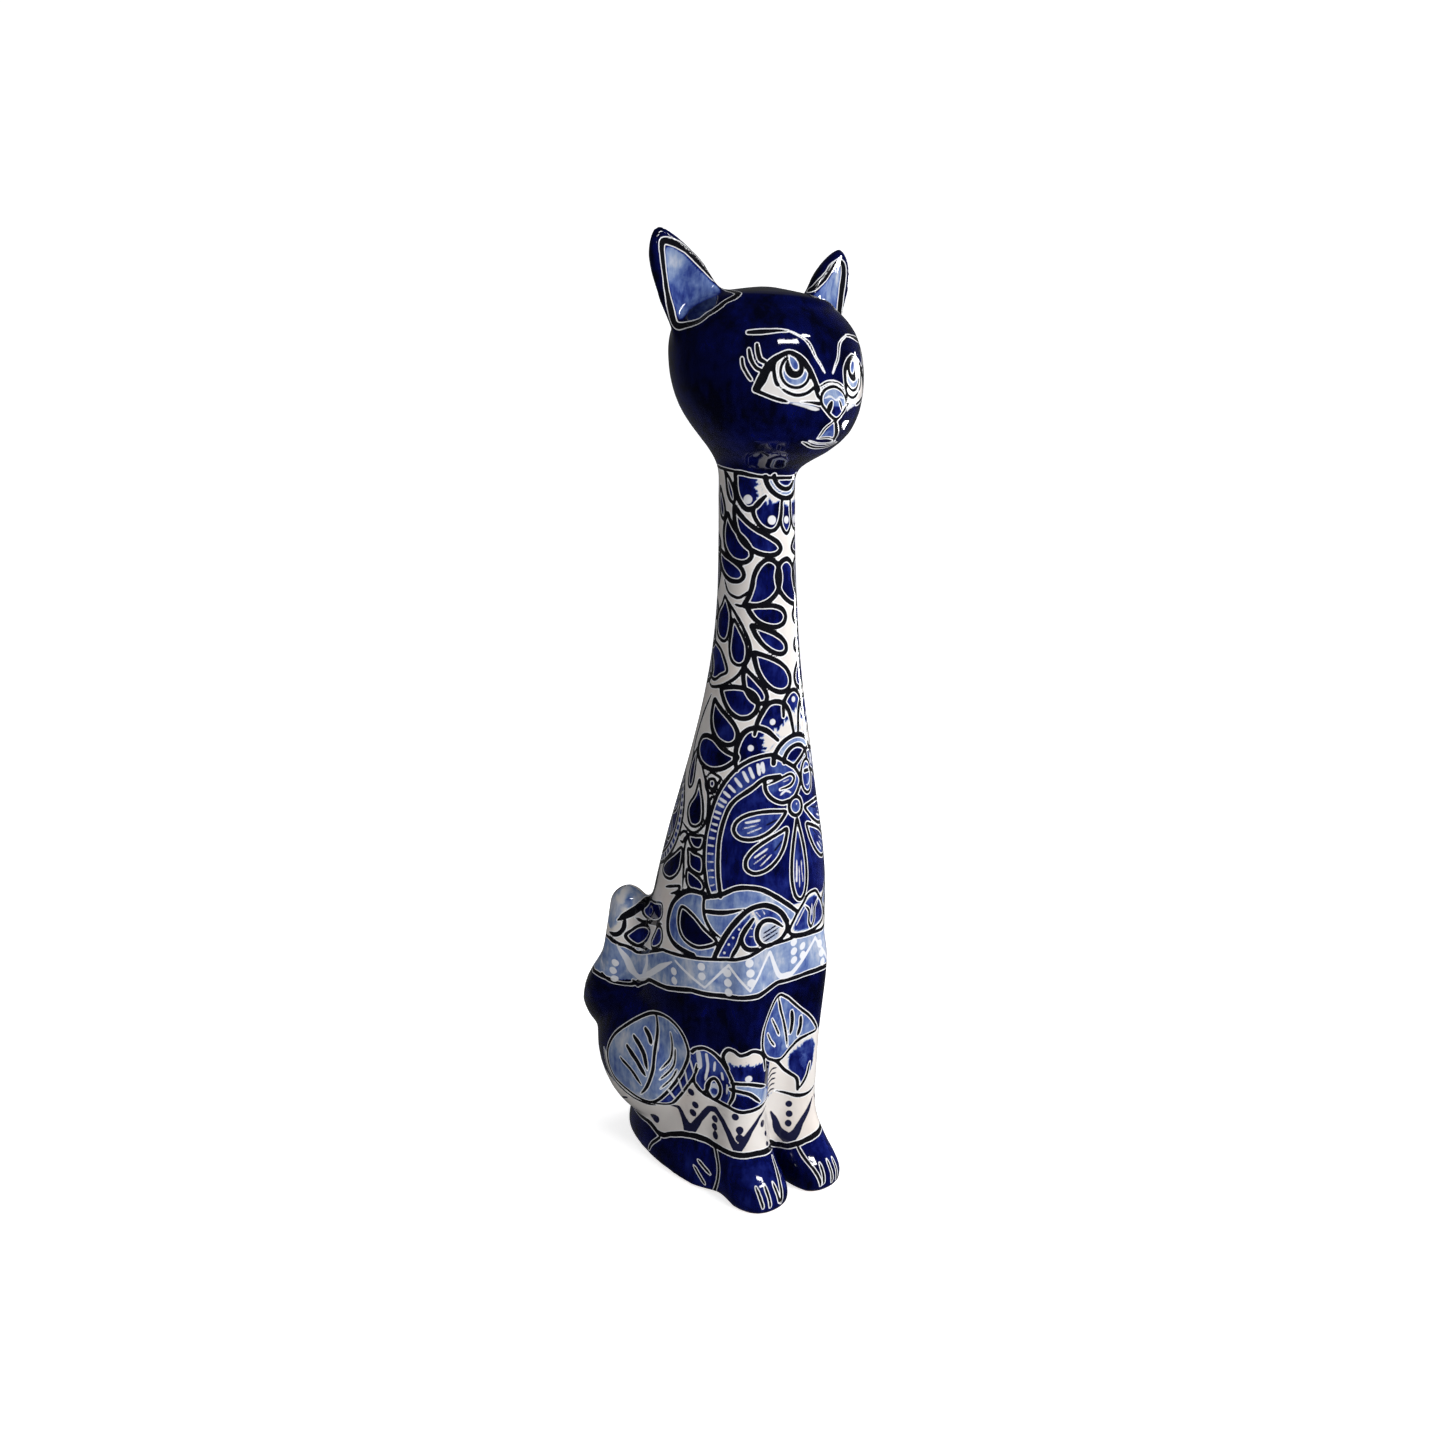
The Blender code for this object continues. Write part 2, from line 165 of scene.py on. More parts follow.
def fuse_skin():
    """One closed surface over all the clay pieces, smoothed across their joints."""
    joined = bmesh.new()
    for node in CLAY_NODES:
        bm = without_cavity(node)
        bm.normal_update()
        for vert in bm.verts:
            vert.co += vert.normal * SWELL
        part = bpy.data.meshes.new("part")
        bm.to_mesh(part)
        bm.free()
        joined.from_mesh(part)
        bpy.data.meshes.remove(part)
    mesh = bpy.data.meshes.new("skin")
    joined.to_mesh(mesh)
    joined.free()
    skin = bpy.data.objects.new("skin", mesh)
    bpy.context.scene.collection.objects.link(skin)
    remesh = skin.modifiers.new("fuse", "REMESH")
    remesh.mode = "VOXEL"
    remesh.voxel_size = VOXEL
    apply_modifiers(skin)
    height = coordinates(skin.data)[:, 2]
    weights = np.where(height > EAR_LEVEL, EAR_SMOOTHING, 1.0)
    smooth_group(skin, weights, int(EVEN_PASSES * FINENESS), EVEN_FACTOR)
    distances = np.sort(node_distances(coordinates(skin.data), NODE_REACH), axis=1)
    near_joint = 1 - (distances[:, 1] - distances[:, 0]) / BLEND_REACH
    weights = np.clip(near_joint, 0, 1) ** JOINT_FALLOFF
    smooth_group(skin, weights, int(JOINT_PASSES * FINENESS), JOINT_FACTOR)
    height = coordinates(skin.data)[:, 2] / MM
    fullness = EAR_FULLNESS * MM * np.clip((height - EAR_FULL_FROM) / EAR_FULL_REACH, 0, 1)
    points = coordinates(skin.data) + normals(skin.data) * (fullness - SWELL)[:, None]
    x, y, z = (points / MM).T
    nose = np.exp(-((x - NOSE[0]) ** 2 + (z - NOSE[1]) ** 2) / NOSE_SPREAD**2) * (y < 0)
    points[:, 1] -= nose * NOSE_REACH * MM
    crown = np.exp(-(x**2 + (y - CROWN_Y) ** 2) / CROWN_SPREAD**2)
    crown *= np.clip((z - HEAD_CORE_Z[1] / MM) / CROWN_REACH, 0, 1)
    points[:, 2] += crown * CROWN_RISE * MM
    points[:, 2] = np.maximum(points[:, 2], 0.0)
    skin.data.vertices.foreach_set("co", points.ravel())
    skin.data.update()
    return skin


skin = fuse_skin()


# Painting: every mark is laid on the skin, and each vertex keeps its distance to the nearest one

skin_points = coordinates(skin.data)
skin_facing = normals(skin.data)
skin_tree = BVHTree.FromObject(skin, bpy.context.evaluated_depsgraph_get())
vertex_angle = np.degrees(np.arctan2(-skin_points[:, 0], -skin_points[:, 1]))
vertex_height = skin_points[:, 2] / MM
vertex_radius = np.hypot(skin_points[:, 0], skin_points[:, 1]) / MM

FAR = 50.0  # a distance in mm that stands for no mark nearby
CAST_FROM = 0.3  # marks are cast on the skin from this many metres out
MARK_STEP = 0.45  # mm between the samples of a stroke
OUTLINE_STEP = 1.0  # mm between the points of a filled outline
TAPER = 0.2  # the share of a stroke's length over which its ends thin
BRISTLE_STRETCH, BRISTLE_BIAS = 0.1, 0.4  # how drawn out the bristle marks are, and how deep on average
WAVER, WAVER_SCALE = 0.13, 160  # how much and how fast the hand's pressure changes along a stroke
LAYERS = ("ink", "navy", "chalk")
marks = {layer: [] for layer in LAYERS}  # samples of strokes: x, y, z in metres and half width in mm
blobs = {layer: [] for layer in LAYERS}  # filled shapes: outline, scale, plane
carvings = []  # shapes left open in the ink
tone = np.zeros(len(skin_points))  # 0 is the bare white glaze, 1 the darkest cobalt


def round_neck(angle, height):
    """The outermost point of the skin at an angle round the neck's axis and a height in mm."""
    turn = math.radians(angle)
    out = Vector((-math.sin(turn), -math.cos(turn), 0))
    return skin_tree.ray_cast(out * CAST_FROM + Vector((0, 0, height * MM)), -out)[0]


class View:
    """A flat way to lay marks on the skin, seen from an angle round the body, x to the viewer's right."""

    def __init__(self, angle):
        turn = math.radians(angle)
        self.out = Vector((-math.sin(turn), -math.cos(turn), 0))
        self.right = Vector((math.cos(turn), -math.sin(turn), 0))
        self.across = skin_points @ np.array(self.right) / MM
        self.faces_it = skin_facing @ np.array(self.out) > -0.1

    def __call__(self, x, height):
        start = self.right * (x * MM) + self.out * CAST_FROM + Vector((0, 0, height * MM))
        return skin_tree.ray_cast(start, -self.out)[0]


from_front = View(0)
from_tail = View(57)


def scale_of(points, cast):
    """Width in mm of one unit of the first coordinate near some points."""
    if isinstance(cast, View):
        return 1.0
    hits = [cast(*point) for point in points[:: max(1, len(points) // 6)]]
    radii = [math.hypot(hit.x, hit.y) / MM for hit in hits if hit]
    return math.radians(1) * (sum(radii) / len(radii) if radii else 50)


def curve(points, scale, closed=False, step=MARK_STEP, sharp=False):
    """A Catmull-Rom curve, or straight legs, through a few points, sampled about every step mm."""
    knots = np.array(points, float)
    count = len(knots)
    spans = count if closed else count - 1
    samples = []
    for i in range(spans):
        if closed:
            a, b, c, d = (knots[(i + k) % count] for k in (-1, 0, 1, 2))
        else:
            b, c = knots[i], knots[i + 1]
            a = knots[i - 1] if i > 0 else 2 * b - c
            d = knots[i + 2] if i + 2 < count else 2 * c - b
        length = math.hypot((c[0] - b[0]) * scale, c[1] - b[1])
        steps = max(2, math.ceil(length / step))
        for t in np.arange(steps) / steps:
            bow = (2 * a - 5 * b + 4 * c - d) * t**2 + (3 * b - a - 3 * c + d) * t**3
            place = b + (c - b) * t if sharp else 0.5 * (2 * b + (c - a) * t + bow)
            samples.append((place[0], place[1], (i + t) / spans))
    if not closed:
        samples.append((knots[-1][0], knots[-1][1], 1.0))
    return np.array(samples)


def stroke(points, width, layer="ink", closed=False, ends=(0.45, 0.45), cast=round_neck, sharp=False):
    """A brush stroke. Width is one value or one for each point; the ends thin by their factors."""
    scale = scale_of(points, cast)
    widths = np.full(len(points), width) if np.isscalar(width) else np.array(width, float)
    if closed:
        widths = np.append(widths, widths[0])
    path = curve(points, scale, closed, sharp=sharp)
    for u, height, t in path:
        hit = cast(u, height)
        if hit is None:
            continue
        half = np.interp(t, np.linspace(0, 1, len(widths)), widths) / 2
        if not closed:
            reach = min(t / TAPER, 1)
            leave = min((1 - t) / TAPER, 1)
            half *= ends[0] + (1 - ends[0]) * math.sin(reach * math.pi / 2)
            half *= ends[1] + (1 - ends[1]) * math.sin(leave * math.pi / 2)
        half *= 1 + WAVER * noise.noise(hit * WAVER_SCALE)
        marks[layer].append((*hit, half))


def inside_distance(outline, scale, plane, rows):
    """Signed distance in mm from some vertices to a closed outline, negative inside."""
    middle = (outline[:, 0].min() + outline[:, 0].max()) / 2
    if isinstance(plane, View):
        u = plane.across[rows] - middle
    else:
        u = ((vertex_angle[rows] - middle + 180) % 360 - 180) * scale
    v = vertex_height[rows]
    a = np.column_stack(((outline[:, 0] - middle) * scale, outline[:, 1]))
    b = np.roll(a, -1, axis=0)
    nearest = np.full(len(rows), np.inf)
    crossings = np.zeros(len(rows), bool)
    for (ax, ay), (bx, by) in zip(a, b):
        ex, ey = bx - ax, by - ay
        along = np.clip(((u - ax) * ex + (v - ay) * ey) / (ex * ex + ey * ey + 1e-12), 0, 1)
        nearest = np.minimum(nearest, np.hypot(u - ax - along * ex, v - ay - along * ey))
        if ay != by:
            crosses = ((ay > v) != (by > v)) & (u < ex * (v - ay) / ey + ax)
            crossings ^= crosses
    return np.where(crossings, -nearest, nearest)


def rows_near(outline, scale, plane, reach, beyond=0):
    """The vertices that can lie within reach mm of an outline."""
    low, high = outline[:, 1].min() - reach, outline[:, 1].max() + reach
    keep = (vertex_height > low) & (vertex_height < high)
    keep &= vertex_radius > beyond
    if isinstance(plane, View):
        keep &= (plane.across > outline[:, 0].min() - reach) & (plane.across < outline[:, 0].max() + reach)
        keep &= plane.faces_it
    else:
        middle = (outline[:, 0].min() + outline[:, 0].max()) / 2
        half = (outline[:, 0].max() - outline[:, 0].min()) / 2 + reach / scale
        keep &= abs((vertex_angle - middle + 180) % 360 - 180) < half
    return np.flatnonzero(keep)


def shape(points, layer, cast=round_neck):
    """A filled shape on a layer of solid colour."""
    scale = scale_of(points, cast)
    blobs[layer].append((curve(points, scale, True, OUTLINE_STEP)[:, :2], scale, cast))


def carve(points, cast=round_neck):
    """A shape where the ink is left open."""
    scale = scale_of(points, cast)
    carvings.append((curve(points, scale, True, 0.8)[:, :2], scale, cast))


def wash(
    points, value, feather=0.8, ragged=0.0, lean=0.0, cast=round_neck, smooth=True, beyond=0, inside=None
):
    """A wash of cobalt in an outline, kept within a second outline if inside is given.

    Ragged is how far bristle marks break its edge, along lean in degrees. Beyond is the radius in mm
    round the neck's axis that the wash stays outside of.
    """
    scale = scale_of(points, cast)
    outline = curve(points, scale, True, OUTLINE_STEP)[:, :2] if smooth else np.array(points, float)
    rows = rows_near(outline, scale, cast, feather + ragged, beyond)
    if not len(rows):
        return
    distance = inside_distance(outline, scale, cast, rows)
    if ragged:
        c, s = math.cos(math.radians(lean)), math.sin(math.radians(lean))
        for i, row in enumerate(rows):
            across = -vertex_angle[row] * scale * s + vertex_height[row] * c
            along = vertex_angle[row] * scale * c + vertex_height[row] * s
            bristle = noise.noise(Vector((across, along * BRISTLE_STRETCH, value * 9)))
            distance[i] += ragged * (BRISTLE_BIAS + bristle)
    if inside is not None:
        limit = curve(inside, scale, True, OUTLINE_STEP)[:, :2]
        distance = np.maximum(distance, inside_distance(limit, scale, cast, rows))
    share = np.clip(0.5 - distance / feather, 0, 1)
    share = share * share * (3 - 2 * share)
    tone[rows] += (value - tone[rows]) * share


def leaf_outline(root, tip, width, bend, scale):
    """A drop from a pointed root to a round tip. Bend pushes its spine sideways, in mm."""
    start = np.array((root[0] * scale, root[1]), float)
    axis = np.array((tip[0] * scale, tip[1]), float) - start
    length = np.hypot(*axis)
    axis /= length
    side = np.array((-axis[1], axis[0]))
    t = np.array((0, 0.12, 0.3, 0.5, 0.7, 0.85, 0.95, 1))
    widest = 0.4015  # the largest value of t**0.9 * (1 - t) ** 0.5
    spine = start + np.outer(t * length, axis) + np.outer(4 * t * (1 - t) * bend, side)
    slope = np.outer(np.full(len(t), length), axis) + np.outer(4 * (1 - 2 * t) * bend, side)
    across = np.column_stack((-slope[:, 1], slope[:, 0])) / np.hypot(slope[:, 0], slope[:, 1])[:, None]
    half = width / 2 * t**0.9 * (1 - t) ** 0.5 / widest
    left = spine + across * half[:, None]
    right = (spine - across * half[:, None])[-2:0:-1]
    outline = np.vstack((left, right))
    outline[:, 0] /= scale
    return [tuple(point) for point in outline]


def leaf(root, tip, width, bend=0.0, line=2.4, place=None):
    """A cobalt drop with a black outline, which sits half outside the drop's width."""
    if place:
        root, tip, bend = place(root), place(tip), bend * place.hand
    scale = scale_of([root, tip], round_neck)
    outline = leaf_outline(root, tip, width * 1.12, bend, scale)
    wash(outline, COBALT)
    stroke(outline, line, closed=True)


def dot(point, radius, layer="chalk", cast=round_neck):
    hit = cast(*point)
    if hit:
        marks[layer].append((*hit, radius))


class Place:
    """Where a motif goes round the body: as drawn, turned by an angle or mirrored about one."""

    def __init__(self, turn=0.0, mirror=None):
        self.hand = 1 if mirror is None else -1
        self.offset = turn if mirror is None else 2 * mirror

    def __call__(self, point):
        return self.hand * point[0] + self.offset, point[1]

    def all(self, points):
        return [self(point) for point in points]


# The levels where one zone of colour meets the next, as heights in mm at angles round the body


def ring(points):
    """A closed level line round the whole body, as height at each whole degree."""
    turns = np.array([point[0] for point in points], float)
    order = np.argsort(turns)
    turns, heights = turns[order], np.array([point[1] for point in points], float)[order]
    wide = np.concatenate((turns - 360, turns, turns + 360))
    degrees = np.arange(-180, 181)
    return degrees, np.interp(degrees, wide, np.tile(heights, 3))


def level(line, angles):
    return np.interp(angles, line[0], line[1])


def mirrored(points, about):
    """Points on one side with their mirror images about an angle."""
    return points + [(2 * about - angle, height) for angle, height in points]


def ring_stroke(line, width, start=-180, end=180):
    """A stroke along part of a level line."""
    turns = np.arange(start, end + 1, 3)
    stroke([(turn, level(line, (turn + 180) % 360 - 180)) for turn in turns], width)


NECK_LINE = ring(
    [(116, 398), (75, 396.5), (51, 395), (20, 394.3), (-21, 394.2), (-60, 395.5), (-110, 398), (180, 400)]
)
BAND_TOP = ring(
    [
        (125, 132), (120, 129), (107, 131), (93, 137), (74, 139), (52, 141.5), (39, 143), (29, 146),
        (18, 151), (-1, 153), (-29, 150), (-44, 150), (-56, 146), (-71, 142), (-95, 140), (-120, 133),
        (150, 128), (180, 128),
    ]
)
BAND_BOTTOM = ring(
    [
        (128, 106), (123, 104), (107, 114), (88, 116), (67, 121), (54, 121), (38, 122), (24, 123.5),
        (10, 128), (-8, 128), (-25, 129), (-45, 127), (-60, 123), (-90, 120), (-115, 115), (-135, 108),
        (155, 104), (180, 103),
    ]
)
SKIRT_TOP = ring(
    [
        (124, 43), (110, 39), (98, 40), (87, 45), (82, 49), (75, 56), (66, 66), (58, 58), (48, 55.5),
        (39, 55), (31, 53), (18, 54), (9, 55), (1, 57), (-9, 54), (-15, 52), (-26, 54), (-40, 56),
        (-60, 62), (-68, 64), (-82, 49), (-98, 40), (-124, 43), (-150, 48), (150, 48), (180, 50),
    ]
)
FOOT_SIDE = [(150, 20), (124, 20), (112, 21), (101, 19), (94, 20), (88, 23), (76, 27), (64, 29), (55, 29)]
FOOT_FRONT = [
    (48, 28), (39, 29), (28, 29.5), (22, 30), (15, 29), (9, 28), (-3, 22), (-6, 23), (-9, 25), (-14, 27),
    (-20, 28), (-33, 29), (-48, 28), (180, 20),
]
FOOT_LINE = ring(mirrored(FOOT_SIDE, 0) + FOOT_FRONT)


def paint_zones():
    """The even grounds of colour, from the head down to the paws."""
    tone[vertex_height > level(NECK_LINE, vertex_angle)] = DEEP
    tone[vertex_height < level(BAND_TOP, vertex_angle)] = PALE
    tone[vertex_height < level(BAND_BOTTOM, vertex_angle)] = DEEP
    tone[vertex_height < level(SKIRT_TOP, vertex_angle)] = 0.0
    tone[vertex_height < level(FOOT_LINE, vertex_angle)] = COBALT + 0.02
    ring_stroke(NECK_LINE, 1.7)
    ring_stroke(BAND_TOP, 1.9)
    ring_stroke(BAND_BOTTOM, 2.6)
    ring_stroke(FOOT_LINE, 2.9)


# Head


def paint_brow(place):
    rise = [(48, 463.5), (41, 464), (35, 464.5), (29, 465), (23, 465)]
    fall = [(23, 465), (18, 463.5), (14, 462), (11, 460), (9, 457), (7, 453.5), (4, 450), (1.5, 446.5)]
    stroke(place.all(rise), (2.1, 2.3, 1.9, 1.3, 0.6), ends=(0.8, 1))
    stroke(place.all(fall), (0.5, 0.5, 0.6, 1.1, 0.9, 0.7, 0.6, 0.4))
    for lash, width in (
        ([(42.4, 458), (41.5, 454.3), (40.2, 451.4), (37, 450)], 2.0),
        ([(46.6, 455.6), (45.1, 451), (42.1, 447.4), (38.9, 446.2)], 1.7),
        ([(50, 451.3), (49.2, 448), (46.8, 444.5), (44.5, 441.8)], 1.5),
    ):
        stroke(place.all(lash), width, ends=(0.8, 0.7))


def circle(middle, radius, scale, start=0, end=360, steps=16):
    """Points on a circle of a radius in mm, as angle and height."""
    turns = [math.radians(start + (end - start) * k / steps) for k in range(steps + (end - start < 360))]
    return [
        (middle[0] + radius * math.cos(turn) / scale, middle[1] + radius * math.sin(turn)) for turn in turns
    ]


FACE_SCALE = 0.87  # mm to a degree round the face


def paint_eye(place, inner):
    """A wide eye: white, ringed iris with a pale crescent, dark pupil, thick lid.

    Inner is the angle where the nose hides it.
    """
    drawn = lambda points: place.all([(max(angle, inner), height) for angle, height in points])
    iris = (20.3, 446.4)
    white = [
        (41, 437), (38.5, 444), (34.5, 450), (29, 454), (23, 454.5), (17, 453), (12.5, 448.5), (9, 443.5),
    ]
    wash(drawn(white + [(7, 438), (7.5, 431.5), (16, 431.5), (25, 432.5), (34, 435)]), 0.02)
    wash(drawn(circle(iris, 7, FACE_SCALE)), 0.12)
    crescent = circle(iris, 6.2, FACE_SCALE, 190, 350, 8)
    crescent += circle((20.3, 448.4), 5.4, FACE_SCALE, 340, 200, 6)
    wash(drawn(crescent), 0.42, 0.5)
    stroke(drawn(circle(iris, 7.4, FACE_SCALE)), 1.5, closed=True)
    shape(drawn(circle((20.8, 448.2), 4.9, FACE_SCALE, steps=12)), "ink")
    glint = leaf_outline(place((24.6, 454)), place((19.6, 446.8)), 4.4, -0.6 * place.hand, FACE_SCALE)
    carve(glint)
    wash(glint, 0.45)
    stroke(glint, 0.55, "chalk", closed=True)
    lid = [
        (41.5, 437.6), (38.8, 442), (36, 447.5), (33, 450.8), (28, 453.8), (23, 455), (17.4, 453),
        (12.8, 448.8),
    ]
    stroke(
        drawn(lid + [(9.2, 443.5), (6.8, 438.5)]), (3.4, 4.4, 4, 3.2, 2.3, 2.3, 2.6, 3, 2.6, 2.2),
        ends=(1, 1),
    )
    stroke(drawn([(32, 451.5), (32.6, 447), (31.2, 441.4), (29.4, 439.4)]), 1.9, ends=(1, 0.6))
    stroke(drawn([(28.4, 438.6), (24.3, 436.6), (19.3, 435.5), (14.2, 436.5), (10, 439), (8, 441)]), 1.6)
    stroke(drawn([(42.5, 437.2), (36.7, 435.3), (31.2, 433.7), (24, 432.2)]), 1.7, ends=(1, 0.3))
    # A painted highlight: a thick white stroke along the lower lid.
    stroke(drawn([(25, 432.3), (16, 430.9), (11, 429.8), (7.6, 429.3)]), (0.8, 1.6, 2, 1.8), "chalk")
    stroke(drawn([(17.5, 432.6), (12, 432.5), (7.2, 432)]), (0.5, 1.1, 1.8), ends=(0.4, 1))
    stroke(drawn([(9, 440), (7, 434.5)]), 1.8)


def paint_muzzle():
    """The nose with its nostrils, the line down to the mouth and the lip."""
    nose = [
        (5.6, 431.6), (5.4, 435.6), (2.3, 438.7), (-3.8, 440.3), (-9.9, 438.7), (-13, 435.6),
        (-13.2, 431.6), (-8.9, 428), (-3.8, 425), (1.3, 427),
    ]
    wash(nose, 0.4)
    wash([(2.5, 429.6), (-3.8, 431), (-9, 429.6), (-3.8, 425.6)], 0.74)
    stroke(nose, 1.5, closed=True)
    stroke([(3.8, 434.6), (0, 435.6), (-3.8, 434), (-8, 435.6), (-11.6, 434.6)], 1.3, "chalk")
    stroke([(2.2, 428.8), (1.2, 430.8), (-0.4, 433)], (2.4, 2.6, 1.6), ends=(0.8, 0.8))
    stroke([(-8, 430.2), (-7.4, 431.8), (-6.6, 433.6)], (2.0, 2.2, 1.4), ends=(0.8, 0.8))
    lids = [(6.6, 439.5), (1.2, 441.9), (-3.8, 442.6), (-9, 441.7), (-13.8, 439.5)]
    stroke(lids, 0.9)
    mouth = [(-2, 424), (2, 416.4), (-11, 415.8)]
    wash(mouth, 0.5, smooth=False)
    stroke([(-2.6, 424.4), (1.8, 420.5), (3, 415.6)], 1.2)
    stroke([(-2.6, 424.4), (-7.6, 420), (-13.5, 414.6)], (1.4, 2.6, 2.8))
    stroke([(2.4, 415.6), (-4.5, 416), (-11.5, 415.2)], 0.9)
    stroke([(11, 413.4), (3.5, 411.4), (-4.5, 410.8), (-13, 411.4), (-20, 413.4)], 1.5)
    stroke([(7.4, 414.2), (0.3, 413), (-9, 413), (-16, 414.2)], 0.7)


def paint_ear(side):
    """The ear's inside: a blue three-cornered field edged in black, as x and z in mm on the cat's right."""
    flip = lambda points: [(side * x, z) for x, z in points]
    field = [
        (-55.6, 501.8), (-54.4, 487.4), (-52, 475.9), (-49.7, 469.2), (-44.5, 474.2), (-38.7, 478.6),
        (-30.5, 484.2), (-35.3, 488.8), (-41.8, 493.9), (-49, 499.9),
    ]
    wash(flip(field), 0.5, cast=from_front)
    wash(flip([(-54, 500), (-52, 486), (-46, 482), (-46, 492)]), 0.4, 4, cast=from_front)
    edge = [
        (-57.8, 504), (-56.4, 487), (-54.1, 475), (-50.6, 465.9), (-43.4, 471.8), (-37.3, 476.4),
        (-27, 484.2), (-34, 490.9), (-40.6, 496.2), (-48.4, 502.6),
    ]
    stroke(flip(edge), 2.9, closed=True, cast=from_front)
    rim = [(-57, 507), (-52.5, 506), (-47.6, 503.5), (-43, 499.4), (-38.2, 495), (-33.5, 490.8)]
    stroke(flip(rim), 0.8, "chalk", cast=from_front)


def paint_head():
    for place, inner in ((Place(), 0), (Place(mirror=-1.5), 12)):
        paint_brow(place)
        paint_eye(place, inner)
    paint_muzzle()
    for side in (1, -1):
        paint_ear(side)


# Neck


def feathered(outline, cut, middle, place, width=2.6, lean=0.0, spot=2.0, value=0.84):
    """A scallop: filled with cobalt up to a bristly white cut, with a white dot and a black outline."""
    wash(place.all(outline), value, 0.7)
    wash(place.all(cut), 0.0, 0.5, 3.2, lean, smooth=False, inside=place.all(outline))
    stroke(place.all(outline), width, ends=(0.7, 0.7))
    dot(place(middle), spot)


def paint_sun(middle, scale, radii, start, end):
    """A disc of cobalt in a pale ring, both edged in black. Radii: outer, ring's inner edge and core."""
    outer, inner, core = radii
    wash(circle(middle, outer, scale, start, end), 0.0)
    wash(circle(middle, outer - 0.8, scale, start, end), 0.36)
    wash(circle(middle, inner, scale, start, end), 0.0)
    wash(circle(middle, core, scale, start, end), 0.88)
    stroke(circle(middle, inner - 0.6, scale, start, end), 2.4, ends=(1, 1))
    stroke(circle(middle, outer, scale, start, end), 2.7, ends=(1, 1))


def paint_collar():
    """Below the chin: a small sun with petals beside it, each feathered in cobalt with a white dot."""
    middle = (-12, 397)
    for place in (Place(), Place(mirror=-12)):
        side = [(44, 395), (72, 396), (75, 392), (72, 386), (64, 381), (53, 378), (41, 379.5), (29, 384)]
        cut = [(45, 402), (44, 386), (40, 379), (20, 379), (10, 402)]
        feathered(side, cut, (53, 383), place, spot=2.4)
        low = [(26, 385), (36, 382), (44, 377), (34, 370.5), (18, 367.5), (6, 369.5), (-1, 376), (-2, 384)]
        cut = [(40, 379.5), (26, 381), (10, 381), (-4, 380), (-4, 392), (30, 392)]
        feathered(low, cut, (15, 373), place, 2.2, 90, 2.4)
    last = [(-1, 382), (-1, 371), (-12, 366), (-23, 371), (-23, 382)]
    feathered(last, [(-2, 379), (-22, 379), (-22, 388), (-2, 388)], (-12, 373), Place(), 1.8, 90, 2.0)
    paint_sun(middle, 0.32, (13, 9, 6.6), 190, 350)
    tone[vertex_height > level(NECK_LINE, vertex_angle)] = DEEP


SIDE_LEAVES = (
    [(81, 332), (69, 325), (67, 317), (70, 311), (77, 309), (90, 311), (98, 316), (96, 323), (87, 328)],
    [
        (61, 321), (52, 316), (44, 310), (42, 305), (44, 300), (51, 298), (60, 300), (65, 306), (65, 313),
        (64, 319),
    ],
    [(103, 307), (82, 305), (71, 300), (65, 294), (74, 291), (85, 288), (100, 290), (110, 298)],
)


def paint_leaves(place):
    """The leaf spray of the neck, springing from a thin vine."""
    leaf((96, 396), (76, 381), 4.2, 0, place=place, line=2)
    leaf((112, 388), (97, 372), 5, 0, place=place, line=2)
    leaf((74, 379), (0, 358.5), 9.2, 5.5, place=place, line=2.6)
    leaf((87, 375), (43, 354), 11.2, 5.1, place=place)
    leaf((105, 356), (52, 344), 8.8, 2.5, place=place)
    leaf((49, 329), (21, 353), 13, 5, place=place, line=2.6)
    leaf((45, 329), (-5, 324), 9.8, 2, place=place, line=2.6)
    leaf((38, 319), (-4, 306), 8, 0.4, place=place, line=2.6)
    leaf((34, 305), (-6, 287), 12.3, 0.6, place=place, line=2.6)
    for outline in SIDE_LEAVES:
        wash(place.all(outline), COBALT)
        stroke(place.all(outline), 1.7, closed=True)
    leaf((70, 284), (30, 275), 13.6, -0.4, place=place, line=2.6)
    leaf((78, 278), (47, 259), 11.4, 2.6, place=place, line=2.6)
    leaf((45, 251), (88, 257), 14, -4.8, place=place, line=2.6)
    leaf((44, 297), (21, 280), 7.4, 1.3, place=place, line=2.4)
    vine = [(86, 341), (76, 335), (65, 333), (55, 333), (42, 337)]
    stroke(place.all(vine), 1.6)
    vine = [
        (83, 333), (64, 326), (49, 318), (39, 309), (39, 303), (45, 297), (54, 291), (71, 286), (89, 284),
        (102, 287),
    ]
    stroke(place.all(vine), 1.8)
    stroke(place.all([(62, 329), (52, 328.5), (46, 329)]), 1.5)
    stroke(place.all([(86, 280), (97, 268), (102, 255), (100, 246), (98, 236)]), 1.8)


def paint_scallops():
    """Above the medallion: a half sun, two feathered scallops on each side and one small one on top."""
    for place in (Place(), Place(mirror=-11)):
        high = [(31, 263), (29, 269), (24, 275), (18, 279), (9, 280), (0, 277.5), (-5, 272), (-8, 262)]
        cut = [(24, 264.5), (12, 266), (0, 271), (-8, 275), (-10, 258), (24, 258)]
        feathered(high, cut, (14.5, 269.5), place, 2.7, 90, 1.7)
        wide = [(45, 244), (47, 251), (45, 259), (39, 264.5), (30, 266.5), (20, 265), (10, 260)]
        cut = [(25, 262), (25, 252), (32, 244), (6, 244), (6, 264), (18, 266)]
        feathered(wide, cut, (34, 256), place, 2.9, 0, 1.7)
    crown = [(3, 272), (2, 279), (-4, 283.5), (-11, 285), (-18, 283.5), (-24, 279), (-25, 272)]
    cut = [(5, 275), (-27, 275), (-27, 268), (5, 268)]
    feathered(crown, cut, (-11, 280), Place(), 2.4, 90, 1.6)
    paint_sun((-10, 248), 0.55, (13.4, 8.6, 6.4), 0, 180)


BREAST_SCALE = 0.76  # mm to a degree round the breast


